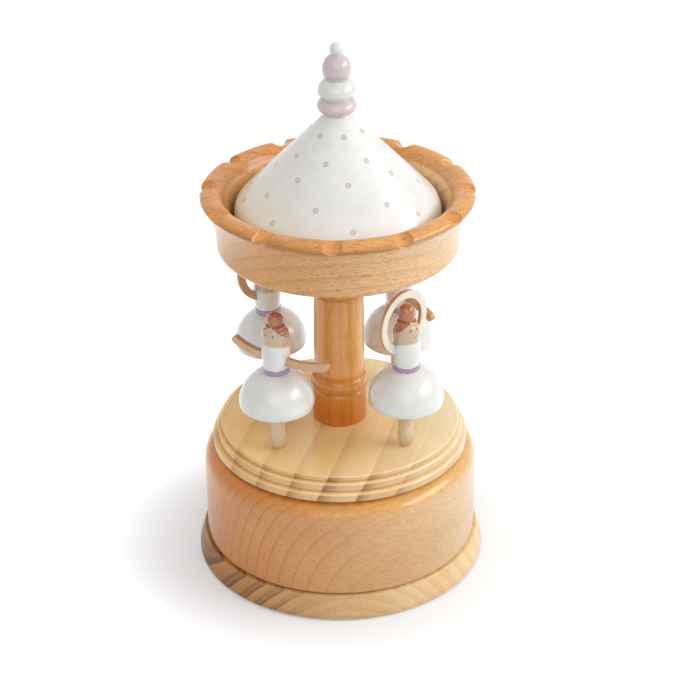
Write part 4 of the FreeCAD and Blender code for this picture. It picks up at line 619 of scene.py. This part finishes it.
plate = {"foot": 0.5, "top": 10.4, "radius": 59.96, "topRadius": 57.7, "nose": 2.3}
basePlate = turnOnLathe("basePlate", [
    (52.2, plate["foot"]), (plate["radius"] - 0.3, plate["foot"], 0.3),
    (plate["radius"], plate["foot"] + 0.35, 0.2), (plate["radius"], plate["foot"] + plate["nose"], 0.5),
    (plate["topRadius"] + 0.1, plate["top"] - 0.25, 0.15), (plate["topRadius"] - 0.2, plate["top"], 0.15),
    (44.05, plate["top"], 0.1), (44.05, 9.5, 0.1), (37.95, 9.5, 0.1), (37.95, plate["top"], 0.1),
    (12.05, plate["top"], 0.1), (12.05, 8.8, 0.1), (4.05, 8.8, 0.1), (4.05, 5, 0.1), (5, 5, 0.1),
    (5, 1.5, 0.1), (52.2, 1.5, 0.1), (52.2, plate["foot"])], closed=True)
finish(basePlate, "base", "base_plate", pineBase)

drumShape = {"foot": 10.8, "top": 51.1, "radius": 56.46, "round": 7.5}
roundRings = curveOf(drumShape["radius"] - drumShape["round"], drumShape["top"] - drumShape["round"],
                     drumShape["round"], drumShape["round"], 0, 90, 7)
drum = turnOnLathe("drum", [
    (50, drumShape["foot"]), (drumShape["radius"] - 0.35, drumShape["foot"], 0.25),
    (drumShape["radius"], drumShape["foot"] + 0.4, 0.25), (drumShape["radius"], 26), *roundRings,
    (5.05, drumShape["top"], 0.1), (5.05, 44, 0.1), (46, 44, 0.1), (46, 15.8, 0.1), (50, 15.8, 0.1),
    (50, drumShape["foot"])], closed=True)
finish(drum, "case", "drum", beechDrum)
print("Base plate and drum are turned")

# Stepped turntable: three tiers, each with a rounded edge over a groove

tiers = {"foot": 52.0, "heights": (55.55, 59.3, 62.0), "radii": (52.7, 50.9, 49.3), "groove": 0.75,
         "round": 0.45}
tierRings = [(14.05, tiers["foot"]), (tiers["radii"][0] - 0.4, tiers["foot"], 0.2),
             (tiers["radii"][0], tiers["foot"] + 0.4, 0.2)]
for index, (top, radius) in enumerate(zip(tiers["heights"], tiers["radii"])):
    rounding = tiers["round"]
    tierRings += [(radius, top - rounding, 0.25), (radius - rounding, top, 0.25)]
    if index + 1 < len(tiers["radii"]):
        above = tiers["radii"][index + 1]
        tierRings += [(above - tiers["groove"], top, 0.12), (above, top + tiers["groove"], 0.2)]
tierRings += [(7.05, tiers["heights"][2], 0.1), (7.05, 58.1, 0.1), (5.05, 58.1, 0.1), (5.05, 54, 0.1),
              (14.05, 54, 0.1), (14.05, tiers["foot"])]
turntable = turnOnLathe("turntable", tierRings, closed=True)
finish(turntable, "carousel", "turntable", pineTable)

# Column: foot, bead between grooves, tapered shaft, and the same again under the bowl

post = {"foot": 11.0, "bead": 11.72, "shaftLow": 10.45, "shaftHigh": 10.1, "groove": 10.25}
column = turnOnLathe("column", [
    (0, 58.2), (6.95, 58.2, 0.15), (6.95, 62, 0.15), (post["foot"] - 0.35, 62, 0.2),
    (post["foot"], 62.4, 0.2), (post["foot"], 75.3, 0.5), (post["groove"], 76.3, 0.3), (11.0, 77.0),
    (post["bead"], 78.6), (post["bead"] + 0.05, 80.2), (11.2, 81.9), (9.75, 82.9, 0.25),
    (post["shaftLow"], 83.9, 0.4), (post["shaftHigh"], 118.9, 0.4), (9.4, 119.7, 0.25), (11.1, 120.7),
    (post["bead"], 122.3), (post["bead"], 123.7), (11.1, 125.3), (post["groove"], 126.2, 0.25),
    (post["foot"], 127.1, 0.4), (post["foot"], 139.1, 0.15), (5.95, 139.1, 0.15), (5.95, 153, 0.15),
    (0, 153)])
finish(column, "carousel", "column", beechColumn)
print("Turntable and column are turned")

# Canopy bowl, with a flared lip cut by twelve gouges

bowl = {
    "foot": 139.1, "wall": 48.3, "thickness": 6.1, "floor": 8.4, "height": 26.5, "shoulder": (6.5, 3.2),
    "reach": 5.97, "flareStart": 4.5, "coveStart": 14.5, "flareAngle": 36, "lip": (4.2, 2.9), "lipEnd": 150,
    "notches": 12, "notchRadius": 4.4, "notchDepth": 4.7, "notchTilt": 28, "notchTurn": -2.7,
    "notchPlace": 52, "notchLength": 20, "dip": 0.35, "dipHeight": 3, "flareSteps": 6,
}
foot, top, wall = bowl["foot"], bowl["foot"] + bowl["height"], bowl["wall"]
lipMiddle = (wall + bowl["reach"] - bowl["lip"][0], top - bowl["lip"][1])
lipRings = curveOf(*lipMiddle, *bowl["lip"], 0, bowl["lipEnd"], 8)
flare = []
cove = []
full = radians(bowl["flareAngle"])
for step in range(bowl["flareSteps"] + 1):
    angle = full * step / bowl["flareSteps"]
    out = (1 - cos(angle)) / (1 - cos(full))
    rise = sin(angle) / sin(full)
    flare.append((wall + bowl["reach"] * out,
                  foot + bowl["flareStart"] + (lipMiddle[1] - foot - bowl["flareStart"]) * rise))
    cove.append((wall - bowl["thickness"] + (lipRings[-1][0] - wall + bowl["thickness"]) * out,
                 foot + bowl["coveStart"] + (lipRings[-1][1] - foot - bowl["coveStart"]) * rise))
bowlRings = [(6.05, foot), (wall - bowl["shoulder"][0] - 12, foot)]
bowlRings += curveOf(wall - bowl["shoulder"][0], foot + bowl["shoulder"][1], *bowl["shoulder"], -90, 0, 5)
bowlRings += flare[1:-1]
bowlRings += [(flare[-1][0] - 0.1, flare[-1][1] - 0.35, 0.3), *lipRings, *cove[-2::-1],
              (wall - bowl["thickness"], foot + bowl["floor"], 0.4),
              (6.05, foot + bowl["floor"], 0.1), (6.05, foot)]
canopyBowl = turnOnLathe("canopyBowl", bowlRings, sides=96, closed=True)
# The rim dips a little towards each notch, as sanding leaves it
dipFoot = top - bowl["dipHeight"]
for vertex in canopyBowl.data.vertices:
    if vertex.co.z > dipFoot * mm:
        turn = degrees(atan2(vertex.co.y, vertex.co.x)) - bowl["notchTurn"]
        nearNotch = max(0, cos(radians(turn * bowl["notches"]))) ** 2
        share = (vertex.co.z / mm - dipFoot) / bowl["dipHeight"]
        vertex.co.z -= bowl["dip"] * mm * nearNotch * share
# Each gouge leans inwards and runs out on the lip
tilt = radians(bowl["notchTilt"])
offset = (wall + bowl["reach"]) * sin(tilt) + (top - bowl["notchDepth"]) * cos(tilt) + bowl["notchRadius"]
along = (bowl["notchPlace"] - offset * sin(tilt)) / cos(tilt)
gougeRise = offset * cos(tilt) - along * sin(tilt)
gouges = None
for side in range(bowl["notches"]):
    angle = radians(bowl["notchTurn"] + 360 / bowl["notches"] * side)
    place = (bowl["notchPlace"] * mm * cos(angle), bowl["notchPlace"] * mm * sin(angle), gougeRise * mm)
    bpy.ops.mesh.primitive_cylinder_add(vertices=64, radius=bowl["notchRadius"] * mm,
                                        depth=bowl["notchLength"] * mm, location=place,
                                        rotation=(0, radians(90) + tilt, angle))
    if gouges is None:
        gouges = bpy.context.object
        bpy.ops.object.transform_apply()
        bpy.ops.object.mode_set(mode="EDIT")
bpy.ops.object.mode_set(mode="OBJECT")
cutWith(canopyBowl, gouges)
bpy.ops.object.shade_smooth_by_angle(angle=radians(32))
finish(canopyBowl, "carousel", "canopy_bowl", beechBowl)
print("Canopy bowl is turned and notched")

# Cone roof and finial

cone = {"foot": 147.5, "top": 196.4, "radius": 40.86, "round": 8.1, "skirt": 8.0, "topRadius": 4.7}
coneRings = [
    (0, 153.1), (6.05, 153.1, 0.1), (6.05, cone["foot"], 0.1), (cone["radius"] - 1, cone["foot"], 0.3),
    (cone["radius"], cone["foot"] + 1, 0.3)]
coneRings += curveOf(cone["radius"] - cone["round"], cone["foot"] + cone["skirt"], cone["round"],
                     cone["round"], 0, 44, 5)
coneRings += [
    (30.08, 170.0), (20.0, 180.5), (9.9, 191.0), (cone["topRadius"], cone["top"] - 0.05, 0.3),
    (3.05, cone["top"] - 0.05, 0.1), (3.05, 184.3, 0.1), (0, 184.3)]
roofCone = turnOnLathe("roofCone", coneRings)
finish(roofCone, "carousel", "roof_cone", roofWhite)

beads = {
    "foot": 196.4,
    "rows": ((0, 4.6, 3.0, 7.88), (6.3, 5.7, 9.0, 7.62), (14.1, 4.6, 18.2, 5.76), (23.8, 2.1, 26.0, 2.82)),
    "top": 28.58, "peg": 12, "steps": 5, "grow": 1.004,
}
pegFoot = beads["foot"] - beads["peg"]
finialRings = [(0, pegFoot), (3.0, pegFoot, 0.2), (3.0, beads["foot"], 0.1)]
for index, (low, lowRadius, wide, radius) in enumerate(beads["rows"]):
    last = index == len(beads["rows"]) - 1
    high, highRadius = (beads["top"], 0) if last else beads["rows"][index + 1][:2]
    lowAngle, highAngle = acos(lowRadius / radius), acos(min(1, highRadius / radius))
    finialRings.append((lowRadius, beads["foot"] + low, 0.12))
    for step in range(1 - beads["steps"], beads["steps"] + 1):
        share = step / beads["steps"]
        angle = lowAngle * share if share < 0 else highAngle * share
        reach = (wide - low) / sin(lowAngle) if share < 0 else (high - wide) / sin(highAngle)
        if step < beads["steps"] or last:
            finialRings.append((radius * cos(angle) * beads["grow"],
                                beads["foot"] + wide + reach * sin(angle)))
finial = turnOnLathe("finial", finialRings, sides=48)
finish(finial, "carousel", "finial", beadEnamel)
print("Roof and finial are turned")

# Dancers: skirt, bodice, head and bun are one turning, drawn once at the middle and facing +X

figure = {
    "table": 62.0, "circle": 36.5, "skirt": 15.1, "skirtDrop": 14.5, "skirtMiddle": 22.3, "waist": 5.25,
    "head": 5.5, "bun": 3.45, "top": 64.12,
    "places": {"back_right": 46.7, "back_left": 136.7, "front_left": 226.7, "front_right": 316.7},
    "faceTurn": {"back_right": 4, "back_left": -6, "front_left": 16, "front_right": -12}, "chin": 49,
    "bunFoot": 54.0, "bunSquash": {"front_left": 0.766}, "lean": {"back_left": (-0.6, -3.6)},
    "faceLift": {"back_right": 0.3, "back_left": 0.5, "front_left": 0.0, "front_right": 0.9},
}
dancerPaint = figurePaint()


def keepPlace(piece, turn=0, lift=0):
    # Keeps each vertex's own place, so that the paint follows the figure wherever it stands. The face
    # can be painted turned, and higher by lift
    own = piece.data.attributes.new("paintPlace", "FLOAT_VECTOR", "POINT")
    back = Matrix.Rotation(-radians(turn), 3, "Z")
    for vertex in piece.data.vertices:
        place = back @ (vertex.co / mm)
        place.z -= lift * min(1, max(0, (place.z - figure["chin"]) / 3))
        own.data[vertex.index].vector = place


def standAt(piece, name):
    angle = radians(figure["places"][name])
    spot = Vector((cos(angle), sin(angle), 0)) * figure["circle"] * mm
    spot.z = figure["table"] * mm
    # Glued in by hand, one of them leans a little
    shift, lean = figure["lean"].get(name, (0, 0))
    spot.x += shift * mm
    leaned = Matrix.Rotation(radians(lean), 4, "Y") @ Matrix.Rotation(angle, 4, "Z")
    moveMesh(piece, Matrix.Translation(spot) @ leaned)


skirtRings = curveOf(0, figure["skirtMiddle"], figure["skirt"], figure["skirtDrop"], 0, 69.65, 8)
figureRings = [
    (0, 27.95), (3.3, 27.95, 0.15), (3.3, 19.95, 0.15), (14.1, 19.95, 0.3), (14.75, 20.5, 0.3),
    *skirtRings[:-1], (figure["waist"], 35.7, 0.15), (figure["waist"] + 0.22, 35.95, 0.12),
    (figure["waist"] + 0.22, 37.85, 0.12), (5.12, 38.05, 0.15), (5.3, 39.6), (5.6, 42.0), (5.78, 44.4),
    (5.62, 46.2), (5.3, 47.5), (5.12, 48.2), (5.22, 49.2), (5.45, 51.0), (5.5, 52.2), (5.25, 53.8),
    (4.7, 55.1), (4.12, 55.9), (3.98, 56.3), (4.05, 56.8), (3.7, 57.3), (3.05, 57.45, 0.1), (3.3, 58.2),
    (figure["bun"] + 0.03, 59.6), (figure["bun"] + 0.02, 60.8), (3.15, 62.1), (2.5, 63.2), (1.5, 63.95),
    (0, figure["top"] + 0.05)]
dancer = turnOnLathe("dancer", figureRings, sides=48)
leg = {"foot": 2.45, "calf": 3.42, "knee": 3.08, "thigh": 3.25}
legRings = [
    (0, -3.8), (1.5, -3.8, 0.1), (1.5, 0.02, 0.05), (leg["foot"] - 0.35, 0.02, 0.1), (leg["foot"], 0.45, 0.2),
    (leg["foot"] - 0.05, 0.85, 0.1), (2.2, 1.05, 0.1), (2.65, 1.35), (3.1, 2.4), (leg["calf"] - 0.05, 3.8),
    (leg["calf"], 5.2), (leg["calf"] - 0.15, 6.8), (leg["knee"], 8.9), (leg["thigh"] - 0.05, 11.5),
    (leg["thigh"], 14), (leg["thigh"], 27.9, 0.1), (0, 27.9)]
dancerLeg = turnOnLathe("dancerLeg", legRings, sides=36)
keepPlace(dancerLeg)
legEnamel = legPaint()
for name in figure["places"]:
    person = copyPiece(dancer, f"{name}Dancer")
    for vertex in person.data.vertices:
        # Turned by hand, one bun is lower than the others
        over = vertex.co.z / mm - figure["bunFoot"]
        if over > 0:
            vertex.co.z = (figure["bunFoot"] + over * figure["bunSquash"].get(name, 1)) * mm
    keepPlace(person, figure["faceTurn"][name], figure["faceLift"][name])
    standAt(person, name)
    finish(person, "carousel", f"{name}_dancer", dancerPaint)
    standing = copyPiece(dancerLeg, f"{name}DancerLeg")
    standAt(standing, name)
    finish(standing, "carousel", f"{name}_dancer_leg", legEnamel)
bpy.data.objects.remove(dancer)
bpy.data.objects.remove(dancerLeg)
print("Dancers and legs are turned")

# Arms: flat strips sawn to a curve, either a pair held out low or one hoop over the head

arm = {
    "width": 3.3, "depth": 2.3, "bend": 29.0, "rise": 41.5, "root": 4.15, "start": -6.0, "tip": 27.0,
    "bodice": 5.62, "twist": {"front_left": 10, "back_right": -5},
    "reach": {"front_left": (1.2, 0.91), "back_right": (1, 0.92)}, "overturned": ("back_right",),
}
hoop = {
    "width": 3.4, "depth": 1.7, "radius": 13.3, "rise": 54.9, "twist": {"back_left": -10},
    "back": {"front_right": 1.8}, "lift": {"front_right": 0.8},
}
tanArm = limbPaint("tanStainedArm", {
    "low": "CFA67D", "high": "DBB48C", "edge": "C49468", "glue": "A8794F", "roughness": 0.4, "gloss": 0.35,
    "half": arm["depth"] / 2})
paleHoop = limbPaint("creamPaintedHoop", {
    "low": "E2DAC8", "high": "EAE2D2", "edge": "CC9F67", "glue": "AC8250", "roughness": 0.34, "gloss": 0.5,
    "half": hoop["depth"] / 2})
tanHoop = limbPaint("tanStainedHoop", {
    "low": "CB9F75", "high": "D8AE84", "edge": "C49468", "glue": "A8794F", "roughness": 0.4, "gloss": 0.35,
    "half": hoop["depth"] / 2})


def sawnStrip(name, half, depth, start):
    # The strip's cross-section, as a flat rectangle at its first end, edges along X and across
    bpy.ops.mesh.primitive_plane_add(size=1, location=start)
    piece = bpy.context.object
    piece.name = piece.data.name = name
    bpy.ops.object.mode_set(mode="EDIT")
    bpy.ops.transform.resize(value=(depth * mm, half * 2 * mm, 1), center_override=start)
    bpy.ops.mesh.delete(type="ONLY_FACE")
    bpy.ops.mesh.select_all(action="SELECT")
    return piece


def softenStrip(piece, width):
    closeMesh()
    edges = piece.modifiers.new("Arris", "BEVEL")
    edges.width, edges.segments, edges.limit_method, edges.angle_limit = width * mm, 3, "ANGLE", radians(40)
    bpy.ops.object.modifier_apply(modifier="Arris")


def copeStrip(piece):
    # Hollowed at the root to sit on the round bodice
    bpy.ops.mesh.primitive_cylinder_add(vertices=64, radius=arm["bodice"] * mm, depth=14 * mm,
                                        location=(0, 0, (arm["rise"] + 1) * mm))
    cutWith(piece, bpy.context.object)
    bpy.ops.object.shade_smooth_by_angle(angle=radians(35))


def bowArm(name):
    # The dancer's left arm: it dips a little, then rises to a rounded hand
    slope, tip = radians(arm["start"]), radians(arm["tip"])
    centre = Vector((0, (arm["root"] - arm["bend"] * sin(slope)) * mm,
                     (arm["rise"] + arm["bend"] * cos(slope)) * mm))
    start = Vector((0, arm["root"] * mm, arm["rise"] * mm))
    piece = sawnStrip(name, arm["width"] / 2, arm["depth"], start)
    # Stood on edge, so that the strip leaves the bodice level
    bpy.ops.transform.rotate(value=radians(90), orient_axis="X", center_override=start)
    bpy.ops.object.mode_set(mode="OBJECT")
    bpy.ops.object.transform_apply()
    piece.data.transform(about(start, Matrix.Rotation(slope, 4, "X")))
    bpy.ops.object.mode_set(mode="EDIT")
    bpy.ops.mesh.select_all(action="SELECT")
    bpy.ops.mesh.spin(steps=14, angle=-radians(arm["tip"] - arm["start"]), center=centre, axis=(1, 0, 0))
    # The hand: four short lengths, each narrower, round the end
    along = Vector((0, cos(tip), sin(tip)))
    end = centre + Vector((0, sin(tip), -cos(tip))) * arm["bend"] * mm
    half, last = arm["width"] / 2, 0
    for angle in (25, 48, 68, 86):
        reach = half * sin(radians(angle))
        bpy.ops.mesh.extrude_edges_move(TRANSFORM_OT_translate={"value": along * (reach - last) * mm})
        here = end + along * reach * mm
        wide = cos(radians(angle)) / cos(asin(last / half))
        bpy.ops.transform.resize(value=(1, 1, wide), center_override=here, orient_type="GLOBAL",
                                 orient_matrix=Matrix.Rotation(tip, 3, "X"), orient_matrix_type="GLOBAL")
        last = reach
    bpy.ops.mesh.edge_face_add()
    bpy.ops.mesh.select_all(action="DESELECT")
    bpy.ops.mesh.select_non_manifold()
    bpy.ops.mesh.edge_face_add()
    softenStrip(piece, 0.3)
    copeStrip(piece)
    return piece


leftArm = bowArm("leftArm")
rightArm = copyPiece(leftArm, "rightArm")
rightArm.data.transform(Matrix.Scale(-1, 4, (0, 1, 0)))
rightArm.data.flip_normals()
for piece in (leftArm, rightArm):
    keepPlace(piece)
for name in ("back_right", "front_left"):
    for source, hand, side, reach in zip((leftArm, rightArm), ("left", "right"), (1, -1), arm["reach"][name]):
        piece = copyPiece(source, f"{name}Dancer{hand.capitalize()}Arm")
        root = Vector((0, arm["bodice"] * mm * side, 0))
        moveMesh(piece, about(root, Matrix.Scale(reach, 4, (0, 1, 0))))
        if name in arm["overturned"]:
            # This pair was glued on the other way up, so that the hands point down
            root.z = arm["rise"] * mm
            moveMesh(piece, about(root, Matrix.Rotation(pi, 4, "Y")))
        moveMesh(piece, Matrix.Rotation(radians(arm["twist"][name]), 4, "Z"))
        standAt(piece, name)
        finish(piece, "carousel", f"{name}_dancer_{hand}_arm", tanArm)
bpy.data.objects.remove(leftArm)
bpy.data.objects.remove(rightArm)

for name, paint in (("back_left", tanHoop), ("front_right", paleHoop)):
    middle = hoop["radius"] - hoop["width"] / 2
    start = Vector((0, middle * mm, hoop["rise"] * mm))
    piece = sawnStrip(f"{name}DancerArms", hoop["width"] / 2, hoop["depth"], start)
    bpy.ops.mesh.spin(steps=72, angle=radians(360), center=(0, 0, hoop["rise"] * mm), axis=(1, 0, 0))
    softenStrip(piece, 0.3)
    copeStrip(piece)
    keepPlace(piece)
    back, lift, twist = [hoop[key].get(name, 0) for key in ("back", "lift", "twist")]
    moveMesh(piece, Matrix.Translation((-back * mm, 0, lift * mm)) @ Matrix.Rotation(radians(twist), 4, "Z"))
    standAt(piece, name)
    finish(piece, "carousel", f"{name}_dancer_arms", paint)
print("Arms are sawn and rounded")

# Stage, light and camera

def seenRays(tree):
    # 1 for what the camera sees, by itself, off a shine or through glass
    rays = addNode(tree, "LightPath").outputs
    seen = addNode(tree, "Math", {0: rays["Is Camera Ray"], 1: rays["Is Glossy Ray"]}, operation="MAXIMUM")
    return addNode(tree, "Math", {0: seen, 1: rays["Is Transmission Ray"]}, operation="MAXIMUM")


bpy.ops.mesh.primitive_plane_add(size=6, location=(0, 0, -0.0002))
floor = bpy.context.object
floor.name = floor.data.name = "floor"
paper, tree, shader = startMaterial("whitePaper")
tree.nodes.remove(shader)
seen = seenRays(tree)
# The paper shows the shadow near the object and turns to plain white further off
spread = addNode(tree, "VectorMath", {0: addNode(tree, "TexCoord").outputs["Object"]}, operation="LENGTH")
spread = addNode(tree, "MapRange", {"Value": spread, "From Min": 0.06, "From Max": 0.13,
                                    "To Min": 0.25, "To Max": 0.8}, interpolation_type="SMOOTHSTEP")
lift = addNode(tree, "Math", {0: seen, 1: spread}, operation="MULTIPLY")
diffuse = addNode(tree, "BsdfDiffuse", {"Color": (0.7, 0.72, 0.74, 1)})
glow = addNode(tree, "Emission", {"Color": (1, 1, 1, 1), "Strength": lift})
both = addNode(tree, "AddShader", {0: diffuse, 1: glow})
plug(tree.nodes["Material Output"], {"Surface": both})
dress(floor, paper)

world = bpy.data.worlds.new("studio")
bpy.context.scene.world = world
world.use_nodes = True
tree = world.node_tree
tree.nodes.clear()
fill = addNode(tree, "Background", {"Color": (1, 1, 1, 1), "Strength": 0.62})
white = addNode(tree, "Background", {"Color": (1, 1, 1, 1), "Strength": 1})
mixed = addNode(tree, "MixShader", {0: seenRays(tree), 1: fill, 2: white})
addNode(tree, "OutputWorld", {"Surface": mixed})

lampAim = Vector((0, 0, 0.1))
lamps = {
    "key": {"place": (0.84, -0.14, 0.6), "size": 0.8, "high": 0.34, "power": 4.8},
    "front": {"place": (-0.1, -1.0, 0.7), "size": 0.7, "high": 0.7, "power": 2.1},
    "top": {"place": (0.1, 0.3, 1.1), "size": 0.8, "high": 0.8, "power": 1.0},
}
for name, lamp in lamps.items():
    data = bpy.data.lights.new(name, "AREA")
    data.shape, data.size, data.size_y, data.energy = "RECTANGLE", lamp["size"], lamp["high"], lamp["power"]
    light = bpy.data.objects.new(name, data)
    bpy.context.scene.collection.objects.link(light)
    light.location = lamp["place"]
    light.rotation_euler = (lampAim - Vector(lamp["place"])).to_track_quat("-Z", "Y").to_euler()

view = {"place": (0, -754.3, 506.8), "target": (4.41, 0, 92.08), "lens": 108.35, "roll": -0.367}
data = bpy.data.cameras.new("camera")
data.lens, data.sensor_width, data.sensor_fit = view["lens"], 36, "HORIZONTAL"
camera = bpy.data.objects.new("camera", data)
bpy.context.scene.collection.objects.link(camera)
camera.location = Vector(view["place"]) * mm
look = (Vector(view["target"]) - Vector(view["place"])).to_track_quat("-Z", "Y").to_matrix()
camera.rotation_euler = (look @ Matrix.Rotation(radians(view["roll"]), 3, "Z")).to_euler()
bpy.context.scene.camera = camera

scene = bpy.context.scene
scene.view_settings.view_transform = "Standard"
print("Stage, lamps and camera are set")
